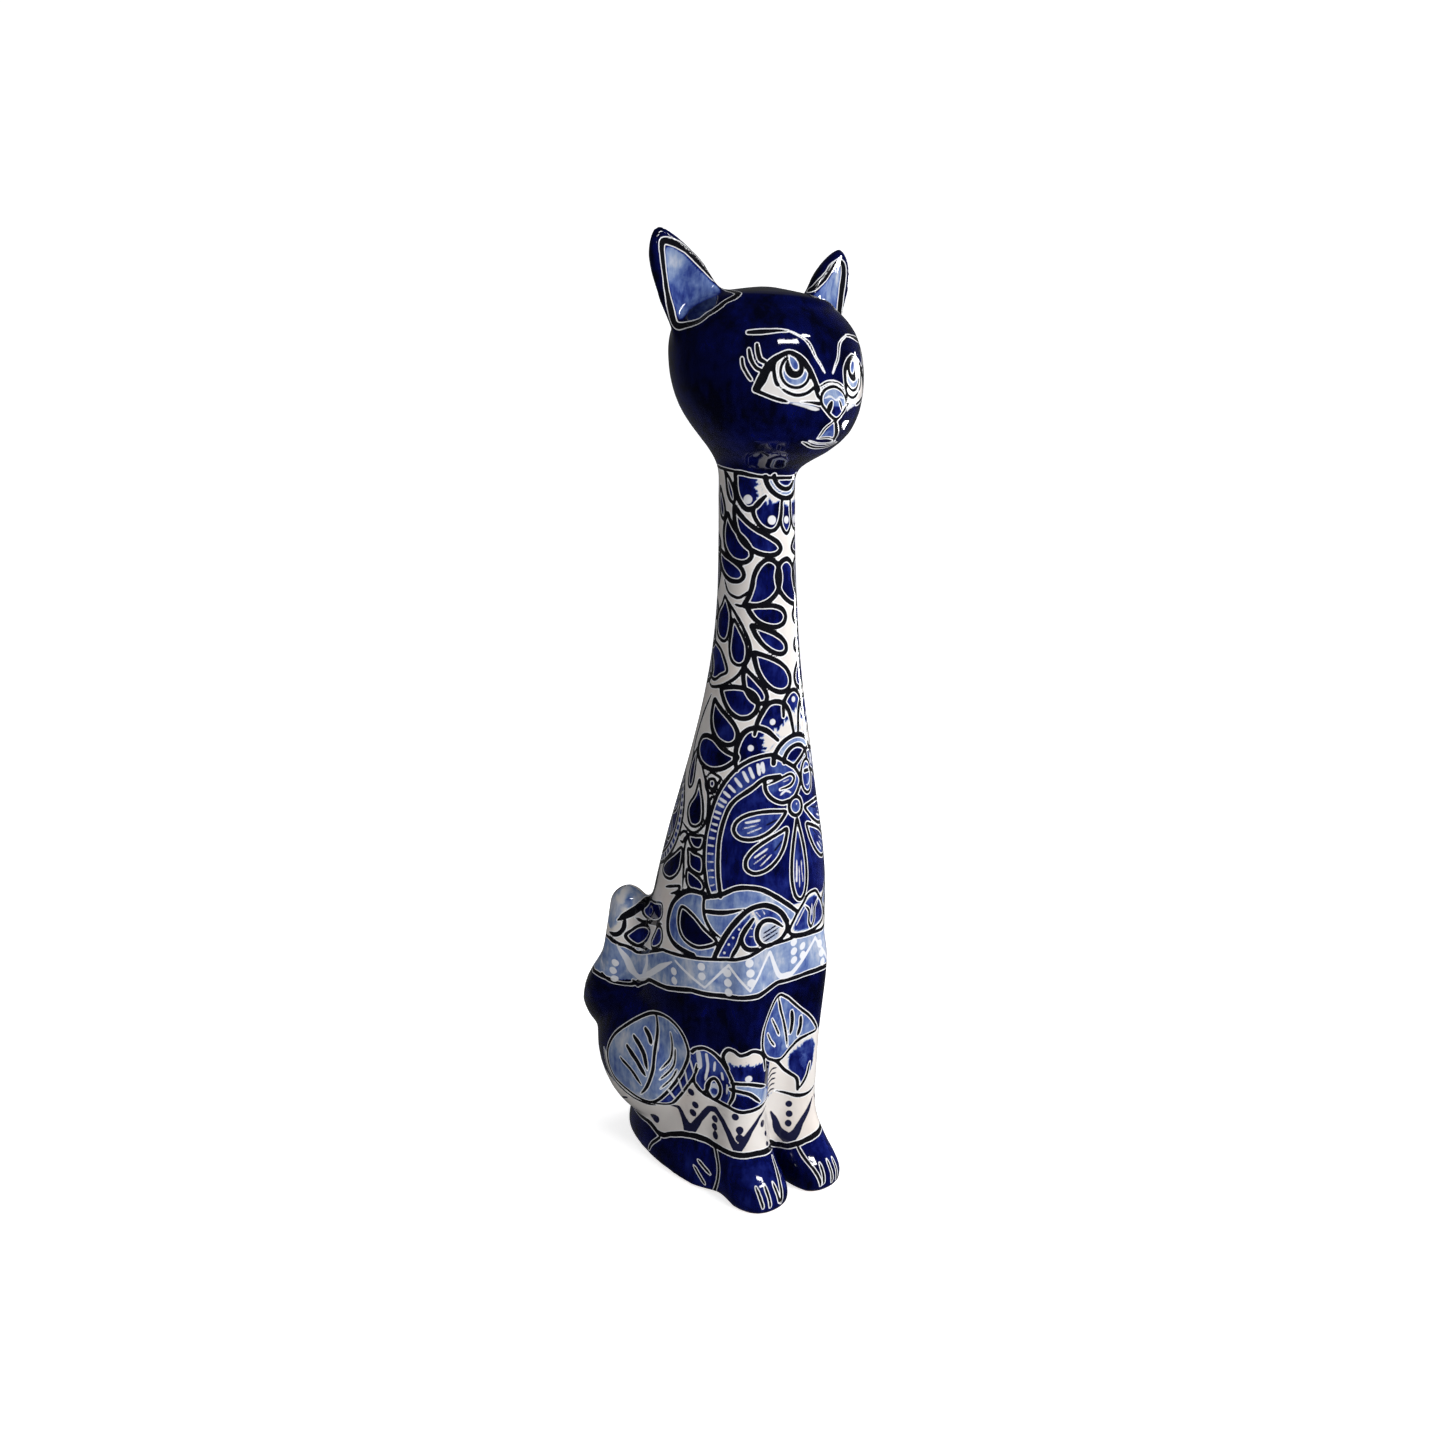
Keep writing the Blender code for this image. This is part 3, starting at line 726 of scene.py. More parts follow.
def paint_medallion():
    """The deep blue arched field on the breast, with a dashed border and a flower."""
    outer = [
        (57, 176), (61, 184), (64, 195), (65, 208), (62, 224), (56, 235), (46, 244), (33, 250),
        (16, 252.5), (5, 249), (-5, 245),
    ]
    inner = [(50, 177), (53, 191), (54, 207), (51, 220), (45, 228), (32, 235), (22, 240), (9, 241)]
    def across(points):
        """The same points on the other side of the medallion's middle."""
        return [(-10 - angle, height) for angle, height in reversed(points)]

    whole = [(57, 172), *outer, *across(outer), (-67, 172)]
    field = [(50, 172), *inner, *across(inner), (-60, 172)]
    wash(whole, 0.74, smooth=False)
    wash(field, 0.86, smooth=False)
    for place in (Place(), Place(mirror=-5)):
        border = curve(inner[:-1], BREAST_SCALE, step=4.1)
        outside = curve(outer[:-2], BREAST_SCALE, step=1.0)
        for u, height, t in border[1:]:
            away = np.hypot((outside[:, 0] - u) * BREAST_SCALE, outside[:, 1] - height)
            far_u, far_height = outside[away.argmin()][:2]
            shares = (0.3, 0.5, 0.72)
            dash = [(u + (far_u - u) * share, height + (far_height - height) * share) for share in shares]
            stroke(place.all(dash), 0.9 + 1.2 * t, "chalk", ends=(0.6, 0.9))
        stroke(place.all(outer), 2.2, ends=(1, 1))
        stroke(place.all(inner), 2.2, ends=(1, 1))
        petal(place, (5, 222), (44, 212.5), 13, -0.6)
        petal(place, (5, 213), (34, 193), 13, -1.2)
    petal(Place(), (-5, 217), (-4.5, 173.5), 10.5, 0.6)
    fold = [
        (16, 252.5), (5, 249), (-5, 245), (-11, 240), (-12, 236), (-6, 230), (-2, 228.5), (8, 227),
        (17, 230),
    ]
    wash(fold + [(22, 236), (16, 246)], 0.7)
    stroke(fold[:7], 2.1, ends=(1, 0.8))
    stroke([(22, 240), (21, 234), (16, 229.5), (8, 227), (0, 227.5)], 2.2, ends=(1, 1))
    stroke([(20, 237), (8, 240), (-1, 241.5), (-5, 239), (-1, 235.5), (9, 234)], 1.6)
    stroke([(9, 231), (4, 233), (-1, 231.5)], 1.4, "chalk")
    stroke([(6, 238), (0, 238.6)], 0.9, "chalk")
    loop = circle((-22, 238), 9, 1.05, 0, 360, 10)
    wash(loop, 0.6)
    stroke(loop, 1.8, closed=True)
    stroke(circle((-22, 238), 5, 0.9, 60, 300), 1.1, "chalk")
    wash(circle((-5, 224), 6, 0.75), 0.0)
    wash(circle((-5, 224), 4.2, 0.75), 0.6)
    stroke(circle((-5, 224), 4.9, 0.75), 2.0, closed=True)
    dot((-6, 225), 0.7)


def petal(place, root, tip, width, bend):
    """A flower petal in a middle blue, with brushed highlights."""
    root, tip, bend = place(root), place(tip), bend * place.hand
    scale = scale_of([root, tip], round_neck)
    outline = leaf_outline(root, tip, width, bend, scale)
    wash(outline, 0.68)
    stroke(outline, 2.0, closed=True)
    for share, shift, size in ((0.62, 0.22, 1.3), (0.7, 0.02, 0.8), (0.64, -0.2, 0.9)):
        low = leaf_point(root, tip, width * shift * 0.7, share - 0.14, scale, bend)
        high = leaf_point(root, tip, width * shift, share + 0.14, scale, bend)
        stroke([low, high], size, "chalk", ends=(0.3, 0.9))
    low = leaf_point(root, tip, -width * 0.1, 0.2, scale, bend)
    high = leaf_point(root, tip, -width * 0.12, 0.45, scale, bend)
    stroke([low, high], 1.2, "navy", ends=(0.2, 0.2))


def leaf_point(root, tip, shift, share, scale, bend):
    """A point inside a drop: share of the way to the tip and shift mm to the side."""
    start = np.array((root[0] * scale, root[1]), float)
    axis = np.array((tip[0] * scale, tip[1]), float) - start
    side = np.array((-axis[1], axis[0])) / np.hypot(*axis)
    place = start + axis * share + side * (shift + 4 * share * (1 - share) * bend)
    return place[0] / scale, place[1]


STRIP_LEAVES = (
    [
        (80, 235), (82, 227), (87, 221), (87, 216), (82, 211), (76, 210.5), (71, 213), (70, 217),
        (72, 224), (76, 230),
    ],
    [(81, 205), (74, 206), (67, 207), (66, 204), (68, 200), (73, 199), (78, 201)],
    [(79, 198), (73, 197), (66, 196), (64, 191), (65, 187), (70, 187), (76, 189), (78, 194)],
    [(77, 187), (71, 186), (65, 184), (62, 181), (63, 178), (68, 177), (74, 178), (77, 182)],
    [(86, 197), (94, 192), (106, 184), (108, 179), (102, 177), (93, 178), (86, 183), (84, 189)],
    [(93, 250), (89, 240), (88, 232), (92, 229), (97, 232), (99, 241)],
    [(69, 236.5), (64, 237.5), (62, 235), (64, 232.5), (68, 233)],
)
STRIP_LINES = (
    [(84, 246), (77, 240), (70, 233), (67, 225), (66, 217), (70, 210.5), (77, 207), (84, 208), (91, 210)],
    [(77, 207), (82, 204), (83, 196), (81, 188), (79, 176)],
    [(62, 229), (65, 227), (66, 224), (65, 222), (63, 220.5)],
    [(91, 202), (89, 205), (85, 206), (82, 204.5), (85, 202), (86, 200), (90, 200)],
    [(98, 172), (90, 174.5), (82, 176.5), (84, 173), (91, 170)],
    [
        (73, 237), (68, 240.5), (63, 240), (58, 238.5), (61, 234.5), (62.5, 231), (68, 230), (72, 233.5),
        (73, 237),
    ],
)


def paint_side_strip(place):
    """Small leaves and loops that fill the strip beside the medallion."""
    for outline in STRIP_LEAVES:
        wash(place.all(outline), DEEP - 0.02)
        stroke(place.all(outline), 1.7, closed=True)
    for line in STRIP_LINES:
        stroke(place.all(line), 1.7)


def paint_round_medallion(place):
    """On each side of the back: a round blue field with a dashed border and a six-petalled flower."""
    middle, scale, outer, inner, dashes, petals = (133, 208), 0.74, 30, 24, 40, 6
    wash(place.all(circle(middle, outer, scale)), 0.76)
    wash(place.all(circle(middle, inner, scale)), 0.86)
    for radius in (outer, inner):
        stroke(place.all(circle(middle, radius, scale, steps=24)), 2.1, closed=True)
    for k in range(dashes):
        turn = 360 * k / dashes
        dash = [circle(middle, radius, scale, turn, turn + 1)[0] for radius in (25.4, 27, 28.6)]
        stroke(place.all(dash), 1.7, "chalk", ends=(0.6, 0.9))
    for k in range(petals):
        turn = 360 * (k + 0.5) / petals
        root, tip = (circle(middle, radius, scale, turn, turn + 1)[0] for radius in (4, 21))
        petal(place, root, tip, 9, 0)
    wash(place.all(circle(middle, 4, scale)), 0.5)
    stroke(place.all(circle(middle, 4.4, scale)), 1.8, closed=True)


def paint_neck():
    paint_collar()
    for place in (Place(), Place(mirror=-12), Place(turn=104)):
        paint_leaves(place)
    leaf((-39, 329), (-12, 353), 13, -5, line=2.6)
    leaf((-118, 340), (-140, 316), 10)
    leaf((-118, 300), (-140, 276), 10)
    leaf((-118, 380), (-142, 358), 9)
    leaf((-122, 262), (-150, 246), 12)
    paint_scallops()
    paint_medallion()
    for place in (Place(), Place(mirror=-5)):
        paint_side_strip(place)
        paint_round_medallion(place)


# Waist


def paint_wave(place):
    """A breaking wave in pale blue, with a ringed comma behind it and a spiral at its crest."""
    crest = [(61, 175), (50, 178), (41, 182), (33, 183), (24, 182), (15, 178), (5, 172), (-2, 167)]
    swirl = [(52, 142.5), (47, 153), (41, 162), (33, 170), (26, 173), (19, 173), (11, 169), (6, 163)]
    back = [(47, 150), (54, 157), (59, 163), (61, 169)]
    comma = [(61, 177), (72, 176.5), (81, 172), (88, 164), (90, 154), (87, 147), (79, 143), (66, 141.5)]
    wash(place.all(crest + list(reversed(swirl)) + back), 0.4)
    wash(place.all(comma + [(52, 142)] + back), 0.44)
    drop = [(78, 166), (80, 158), (77, 151), (71, 147.5), (62, 146.5), (51, 151.5), (60, 158), (69, 164)]
    wash(place.all(drop), 0.95)
    stroke(place.all(drop), 1.9, closed=True)
    stroke(place.all(comma), 3, ends=(0.9, 0.8))
    stroke(place.all(crest), 2.6, ends=(1, 0.8))
    stroke(place.all([(61, 177), (61, 169), (59, 163), (54, 157), (49, 154.5)]), 1.9)
    stroke(place.all([(59, 167.5), (47, 168.5), (34, 171.5)]), (2.6, 2.6, 1), ends=(0.9, 0.4))
    blade = [(49, 143), (44, 154), (38, 162), (30, 169), (33, 162), (37, 154), (42, 144)]
    wash(place.all(blade), 0.72)
    for point in ((45.5, 146), (43, 151), (40.5, 155), (37, 160)):
        dot(place(point), 0.8)
    wash(place.all([(29, 168), (33, 160), (34, 154), (31, 151), (26, 151), (26, 158), (27, 163)]), 0.7)
    wash(place.all([(28, 171), (20, 172), (12, 168), (8, 162), (11, 160), (17, 165), (24, 165)]), 0.66)
    for mark in (
        [(28, 156), (31, 156)], [(28, 160), (30.5, 161)], [(24, 167), (27, 170)], [(21, 168), (23, 171)]
    ):
        stroke(place.all(mark), 0.8, "chalk")
    wash(place.all(circle((17.5, 157.5), 5.4, 0.85)), 0.2)
    for rise in (-2.5, 0, 2.5):
        stroke(place.all([(22, 155 + rise), (12, 160 + rise)]), 1.1, "navy")
    coil = [(6, 158), (11, 153), (20, 150.5), (25, 154), (25.5, 160), (22, 164.5), (16, 164.5), (9, 160.5)]
    stroke(place.all(swirl), 3, ends=(0.8, 1))
    stroke(place.all([(6, 163)] + coil), 2.5, ends=(1, 0.5))
    stroke(place.all([(41, 144), (37, 151), (35, 157)]), 2.2)
    stroke(place.all([(28.5, 166), (33, 160), (35.5, 154), (32, 149.5), (25, 149)]), 2.7, ends=(0.6, 0.8))


def paint_waist():
    for place in (Place(), Place(mirror=-16)):
        paint_wave(place)
    pod = [
        (3, 155.5), (0, 164), (-7, 171), (-12, 175), (-20, 175), (-25, 171), (-32, 164), (-35, 155.5),
        (-16, 153),
    ]
    wash(pod, 0.0)
    wash(
        [(0, 157), (-3, 164), (-10, 171), (-16, 173), (-22, 171), (-29, 164), (-32, 157), (-16, 155)], 0.72
    )
    stroke(pod, 1.8, closed=True)
    stroke([(-9, 169), (-13, 165), (-13, 159), (-16, 155.5), (-19, 159), (-19, 165), (-23, 169)], 1.7)
    stroke([(-1, 159), (-6, 165), (-9, 168)], 1.0, "chalk")
    stroke([(-16, 162), (-16, 169)], 1.0, "chalk")
    peaks = [(100, 122.5), (80, 134.5), (57, 124.5), (42.5, 139.5), (29, 126.5), (17, 147), (7, 131)]
    stroke(peaks[1:6], 1.5, "chalk", ends=(1, 1), sharp=True)
    stroke(
        [(17, 147), (10, 133), (3, 131), (-3, 133), (-21, 147.5)], (1.7, 3.0, 4.2, 3.0, 2.0), "chalk",
        ends=(1, 1),
    )
    stroke([(-21, 147.5), (-33, 131), (-43, 146.5)], 1.9, "chalk", ends=(1, 1), sharp=True)
    back = [
        (-43, 146.5), (-57, 126), (-72, 139), (-88, 123), (-104, 136), (-121, 117), (-137, 128),
        (-152, 108), (-166, 124), (-180, 106), (-194, 124), (-208, 107), (-222, 126), (-232, 112),
    ]
    stroke(back, 1.8, "chalk", sharp=True)
    columns = [
        (81, 128, 2), (60, 136, 2), (43, 135, 3), (30, 142, 3), (0, 150, 3), (-25, 143, 3), (-8, 146, 2),
        (-57, 140, 3), (-73, 132, 2), (-89, 134, 3), (-105, 128, 2), (-121, 130, 3), (-137, 120, 2),
        (-152, 122, 3), (-166, 116, 2), (180, 119, 3), (166, 116, 2), (152, 120, 3), (138, 116, 2),
    ]
    for angle, height, count in columns:
        for k in range(count):
            dot((angle - 0.7 * k, height - 5.4 * k), 2.3)


# Tail


TAIL_BEYOND = 52  # mm from the neck's axis; the body beside the tail's tip is nearer than this


def paint_tail():
    """The raised tip in mottled pale blue, cut off from white by a thick diagonal, with three petals."""
    back = [(150, 185), (128, 185), (126, 157), (125, 148), (126, 140), (150, 134), (178, 140), (178, 180)]
    wash(back, 0.3, smooth=False, beyond=62)
    tip = [
        (-67, 168), (-40, 172), (-45, 160), (-50, 153), (-54, 149.5), (-60, 146), (-63, 141), (-68, 138),
        (-70, 150),
    ]
    wash(tip, 0.28, cast=from_tail, beyond=TAIL_BEYOND)
    for spot, size, value in (((-61, 157), 4, 0.05), ((-56, 154), 3.5, 0.46), ((-58, 150), 3, 0.08)):
        wash(circle(spot, size, 1.0, steps=6), value, 3, 2, 30, cast=from_tail, beyond=60)
    diagonal = [(-40, 173), (-42, 167), (-45.3, 159), (-50, 153), (-54, 149.5), (-58, 147), (-61.8, 144)]
    stroke(diagonal, (3, 4.2, 4.6, 5, 4.8, 3.6, 2.4), cast=from_tail)
    stroke([(131, 162), (129.5, 157), (128, 151), (127.5, 145)], 2.2)
    stroke([(117, 180), (119, 173), (121.5, 167), (124, 160)], (2.4, 3, 3.6, 4))
    stroke(
        [(-67.1, 133), (-63.2, 131), (-56.8, 129), (-53.8, 127), (-49.7, 125), (-38.4, 131)], 2.0,
        cast=from_tail,
    )
    low = [(-72.7, 107), (-69.1, 105), (-63, 103), (-57.2, 102), (-52, 105), (-48.8, 108), (-39.8, 114)]
    stroke(low, 2.3, ends=(1, 1), cast=from_tail)
    stroke([(-57.4, 146), (-58.2, 139.5), (-62, 135.5), (-67.5, 135)], (2.4, 2.8, 2.8, 2.2), cast=from_tail)
    for outline, line, value in (
        (
            [
                (-48, 154), (-40, 158.5), (-32.5, 161.5), (-31.5, 155), (-36, 150), (-45.8, 146),
                (-49.5, 149),
            ],
            1.3, 0.8,
        ),
        (
            [
                (-56.8, 135), (-53.5, 139), (-50.5, 141), (-44.4, 142), (-41.6, 141), (-44.9, 134),
                (-51, 129),
            ],
            2.0, 0.88,
        ),
        (
            [
                (-34.3, 148), (-30.9, 148), (-30.1, 142), (-33.1, 137), (-38.2, 134), (-39.3, 137),
                (-36.8, 143),
            ],
            1.5, 0.8,
        ),
    ):
        wash(outline, value, cast=from_tail)
        stroke(outline, line, closed=True, cast=from_tail)
    stroke([(-52.4, 146), (-47.7, 143.5), (-37.1, 148), (-30.9, 151)], 1.8, cast=from_tail)
    zigzag = [
        (-61.8, 129), (-57.1, 121), (-54.4, 112), (-48.8, 110), (-39, 118), (-30.6, 126), (-21.7, 133),
    ]
    stroke(zigzag, (2.8, 4, 4.2, 4, 3.6, 3.8, 2.4), "chalk", cast=from_tail)
    stroke([(-42.6, 127), (-42.6, 121), (-46, 113)], (3.4, 3.2, 3), "chalk", cast=from_tail)
    for spot in ((-63.5, 117), (-65.2, 111.5), (-64.6, 106)):
        dot(spot, 2.4, cast=from_tail)


# Haunches and legs


def paint_haunch(place):
    """A broad pale leaf on the haunch with a striped scroll before it."""
    emblem = [
        (99, 96), (109, 91.5), (116, 82), (121, 73), (124, 63), (124, 54), (121, 47), (112, 43.5),
        (102, 41), (95, 43), (87, 51), (79, 62), (73, 71), (69, 80), (71, 88), (77, 94.5), (87, 97.5),
    ]
    stroke(place.all([(128, 60), (126, 50), (121, 43.5), (112, 40), (102, 39), (96, 40)]), 1.6)
    wash(
        place.all([(128, 60), (126, 50), (121, 43), (112, 39), (98, 38), (98, 44), (112, 46), (124, 58)]),
        0.0,
    )
    strip = [
        (68, 81), (71, 70), (77, 59), (86, 49), (96, 42), (87, 44), (80, 50), (72, 59), (65, 68), (62, 76),
    ]
    wash(place.all(strip), 0.74)
    for low, high in (
        ((65, 70), (68, 78)), ((71, 61), (73, 69)), ((76, 54.5), (79, 62)), ((83, 48), (86, 54)),
    ):
        stroke(place.all([low, high]), 1.5, "chalk", ends=(0.9, 0.6))
    scroll = [
        (66, 83), (63, 85.5), (57, 87.5), (52, 86.5), (47, 83.5), (42, 78.5), (38, 73), (36, 68), (36, 62),
    ]
    rest = [(38, 57), (48, 56), (56, 58), (63, 64), (64, 70), (62, 75)]
    wash(place.all(scroll + rest), 0.74)
    for mark, width in (
        ([(61, 84), (60, 78), (60, 74)], 3.2),
        ([(55, 84), (54, 76), (56, 67)], 1.8),
        ([(49, 80), (49.5, 74)], 1.5),
        ([(44, 74), (43, 70)], 1.7),
        ([(40, 68), (40, 62)], 1.2),
    ):
        stroke(place.all(mark), width, "chalk", ends=(0.9, 0.5))
    stroke(place.all([(98, 41), (87, 43), (80, 49), (72, 58), (65, 67), (62, 76)]), 1.7, ends=(0.8, 0.6))
    stroke(place.all(scroll + rest[:1]), 2.2, ends=(1, 0.8))
    stroke(place.all([(61, 74), (64.5, 68), (64.5, 63), (61, 59.5), (57, 59), (54, 62), (52, 67)]), 1.9)
    wash(place.all(circle((49, 62), 4.6, 0.9)), 0.1)
    wash(place.all(circle((49, 61), 2.2, 0.9)), 0.7)
    stroke(
        place.all([(49, 69.5), (53.5, 66), (54.5, 61), (50, 55.8), (45.5, 59), (44.8, 65)]), 2.1,
        closed=True,
    )
    wash(place.all(emblem), 0.33)
    wash(
        place.all(
            [(99, 95), (96, 80), (94, 66), (97, 52), (90, 50), (80, 64), (72, 76), (76, 93), (87, 96)]
        ),
        0.42, 2,
    )
    stroke(place.all(emblem), 2.0, closed=True)
    stroke(
        place.all([(100, 95), (98, 88), (96, 80), (94.5, 72), (94, 64), (96, 56), (99, 50), (103, 45)]), 2,
        ends=(1, 0.3),
    )
    for mark, width in (
        ([(105, 85), (101, 82), (98, 78)], 2.0),
        ([(109, 79), (104, 75.5), (100, 71), (97, 63)], 2.1),
        ([(111, 72), (104.5, 67), (101, 63), (98, 59)], 2.3),
        ([(114, 63), (108, 60), (105, 57.5), (101, 52)], 1.7),
        ([(85, 89), (84, 82), (85, 73), (90, 65)], 1.1),
        ([(81, 80), (82, 71), (85, 65), (90, 59)], 1.0),
        ([(80, 67), (84, 60), (90, 53)], 0.9),
    ):
        stroke(place.all(mark), width * 1.25, ends=(0.7, 0.2))
    for mark in ([(83, 75), (86, 67), (90, 61)], [(97, 92), (95, 82), (93, 75)], [(84, 94), (77, 90)]):
        stroke(place.all(mark), 0.8, "chalk", ends=(0.2, 0.2))


def paint_front_legs():
    """A feathered petal over a dark lens on the right leg; a fan leaf and a feathered patch on the left."""
    cup = [
        (40, 78), (43.5, 84), (41, 89), (37, 89.5), (33, 87.5), (29, 88.5), (25, 90), (20, 88), (17, 84),
        (15, 76),
    ]
    whole = cup + [(15, 68), (26, 70), (38, 70)]
    wash(whole, 0.8)
    wash([(46, 80.5), (11, 79.5), (11, 95), (46, 95)], 0.0, 0.5, 3.2, 90, smooth=False, inside=whole)
    stroke(cup, 2.2, ends=(0.8, 0.6))
    stroke([(38, 70), (26, 70), (14, 65.5)], 2)
    dot((27, 73.4), 2.1)
    wash([(38, 69), (26, 69), (12, 64), (11, 56), (20, 55), (30, 54), (38, 57)], 0.4)
    lens = [(38, 63), (32, 63.5), (26, 62), (19, 57), (25, 55), (33, 55.5), (38, 57)]
    wash(lens, 0.9)
    stroke([(38, 66), (31, 65.5), (25, 63.5), (18, 57.5)], 2.1, ends=(1, 0.5))
    ring_stroke(SKIRT_TOP, 2.1, 9, 64)
    fan = [
        (9, 119), (2, 117.5), (-5, 112.5), (-12, 107), (-18, 102), (-23, 96), (-26, 91), (-20, 90),
        (-14, 88), (-8, 82), (-1, 77), (10, 80), (17, 87), (19, 96), (17, 106),
    ]
    wash(fan, 0.5)
    wash([(9, 117), (4, 100), (-2, 82), (10, 82), (17, 90), (17, 104)], 0.6, 2)
    stroke(fan, 1.6, closed=True)
    for mark, width in (
        ([(8, 118), (5, 110), (1, 102), (-3, 93), (-6, 84)], 1.5),
        ([(12, 106), (7, 99), (3, 93)], 1.3),
        ([(15, 98), (11, 92), (6, 87)], 1.2),
        ([(-5, 107), (-7, 100), (-7, 92)], 2.3),
        ([(-13, 102), (-13.5, 96), (-12.5, 90)], 1.9),
    ):
        stroke(mark, width, ends=(0.6, 0.3))
    wash(
        [
            (10, 79), (-1, 76), (-8, 82), (-16, 88), (-27, 91), (-34, 86), (-34, 56), (-15, 51), (1, 56),
            (9, 58),
        ],
        0.0,
    )
    patch = [
        (-20, 87), (-14, 84), (-9, 79), (-8, 72), (-11, 66), (-17, 60), (-23, 66), (-26, 76), (-25, 84),
    ]
    wash(patch, 0.78, 0.8, 1.2, 60)
    wash([(-17, 79), (-14, 75), (-16, 70), (-19, 68), (-21, 74)], 0.56, 2, 2.4, 60)
    stroke([(10, 80), (2, 76), (-5, 70), (-10, 66.5), (-14, 63), (-15, 56)], 2, ends=(0.8, 0.8))
    stroke([(-3, 77), (-8, 82), (-14, 87.5), (-20, 90)], 1.6)
    stroke([(-22, 72), (-20, 64), (-16, 57)], 1.5)
    for k in range(5):
        stroke([(10, 70 - 3.2 * k), (6, 72.5 - 3.4 * k), (1, 72 - 3.4 * k)], 1.2, "navy", ends=(1, 0.3))
    stroke([(1, 57), (-9, 54), (-15, 52.3), (-22, 52.5), (-30, 55)], (1, 1.8, 2.6, 2, 1.2))


def paint_skirt():
    """The white zone above the paws: a dark zigzag with columns of dots, given as angle, height, radius."""
    right = [
        (87, 42), (81, 42), (77, 36), (72, 31.5), (67, 32.5), (61, 40), (53, 49), (48, 49.5), (42, 45),
        (38, 40), (35, 35), (32, 32), (29, 35), (24, 42), (18, 48), (11, 51),
    ]
    widths = (3.08, 3.52, 4.62, 6.82, 5.72, 3.96, 3.52, 3.96, 3.52, 3.52, 3.96, 4.84, 3.74, 3.3, 3.08, 2.64)
    stroke(right, widths, "navy", sharp=True)
    left = [(3, 44), (-2, 38), (-5, 31), (-8, 27), (-12, 31), (-16, 36), (-22, 42), (-27, 48)]
    stroke(left, (2.8, 3.6, 5, 7, 4.6, 3.4, 3, 2.4), "navy", sharp=True)
    far = [
        (-30, 48), (-38, 40), (-44, 33), (-50, 38), (-58, 48), (-66, 38), (-72, 32), (-80, 42), (-90, 36),
    ]
    stroke(far, 3.4, "navy", sharp=True)
    back = [
        (-90, 36), (-102, 26), (-116, 36), (-132, 26), (-148, 40), (-164, 28), (-180, 42), (-196, 28),
        (-212, 40),
    ]
    stroke(back + [(-228, 26), (-244, 36)], 3.2, "navy", sharp=True)
    spots = [
        (105, 27, 3.2), (68, 56, 2.2), (64.5, 48.5, 2.2), (67, 42.5, 2.3), (48, 43.5, 2.1),
        (48, 38.5, 2.1), (47, 33.5, 2.3), (34, 50, 2), (31, 42.5, 2.1), (31, 38, 2.1), (15, 43, 2),
        (12, 36, 1.5), (12, 31, 1.5), (-11, 47, 1.9), (-11, 41, 1.9), (-10, 35.5, 1.9), (-37, 50, 2),
        (-38, 33, 1.6), (-51, 46, 2), (-51, 31, 2), (-74, 48, 2), (-74, 42, 2), (-104, 34, 2),
        (-130, 36, 2), (-160, 38, 2), (160, 36, 2), (132, 34, 2),
    ]
    for angle, height, radius in spots:
        dot((angle, height), 1.05 * radius, "navy")


def paint_paws():
    """Seams between the paws, and toes drawn as dark slits with pale edges."""
    for side in (1, -1):
        stroke(
            [(side * 47, 28), (side * 45, 24), (side * 43, 18), (side * 43, 11), (side * 45, 2)], 1.7,
            ends=(1, 1),
        )
        for mark in ([(-41.2, 13.5), (-40, 9), (-38.6, 5)], [(-39.8, 17.6), (-38.6, 15), (-37, 12)]):
            stroke([(side * x, z) for x, z in mark], 1.5, cast=from_front)
        for mark in (
            [(-27, 16.5), (-26.8, 11), (-25.9, 6)],
            [(-22.4, 17.2), (-22.4, 12), (-22, 6)],
            [(-17, 17), (-16.6, 12), (-16, 7)],
        ):
            stroke([(side * x, z) for x, z in mark], 1.4, cast=from_front)
        stroke([(side * 10, 25), (side * 10, 20), (side * 11, 14), (side * 12, 6)], 1.7)
        stroke([(side * 98, 17), (side * 106, 10), (side * 110, 4)], 1.7, ends=(1, 0.6))


def paint_all():
    paint_zones()
    paint_neck()
    paint_waist()
    paint_tail()
    paint_haunch(Place())
    paint_haunch(Place(mirror=0))
    paint_front_legs()
    paint_skirt()
    paint_paws()
    paint_head()


paint_all()


# marks of like width are searched together
HALF_WIDTH_BANDS = ((0, 0.6), (0.6, 1.0), (1.0, 1.5), (1.5, 99))


def layer_distances():
    """For each layer, every vertex's signed distance in mm to its nearest mark, negative inside."""
    found = {}
    for layer in LAYERS:
        distance = np.full(len(skin_points), FAR)
        samples = marks[layer]
        halves = np.array([sample[3] for sample in samples])
        for low, high in HALF_WIDTH_BANDS:
            chosen = np.flatnonzero((halves >= low) & (halves < high))
            if not len(chosen):
                continue
            tree = KDTree(len(chosen))
            for slot, index in enumerate(chosen):
                tree.insert(samples[index][:3], slot)
            tree.balance()
            for row, point in enumerate(skin_points):
                _, slot, away = tree.find(point)
                reach = away / MM - halves[chosen[slot]]
                if reach < distance[row]:
                    distance[row] = reach
        for outline, scale, plane in blobs[layer]:
            rows = rows_near(outline, scale, plane, 2)
            distance[rows] = np.minimum(distance[rows], inside_distance(outline, scale, plane, rows))
        found[layer] = distance
    for outline, scale, plane in carvings:
        rows = rows_near(outline, scale, plane, 2)
        hole = -inside_distance(outline, scale, plane, rows)
        found["ink"][rows] = np.maximum(found["ink"][rows], hole)
    return found


layers = layer_distances()


# Cutting the painted skin back into one closed piece for each CAD piece


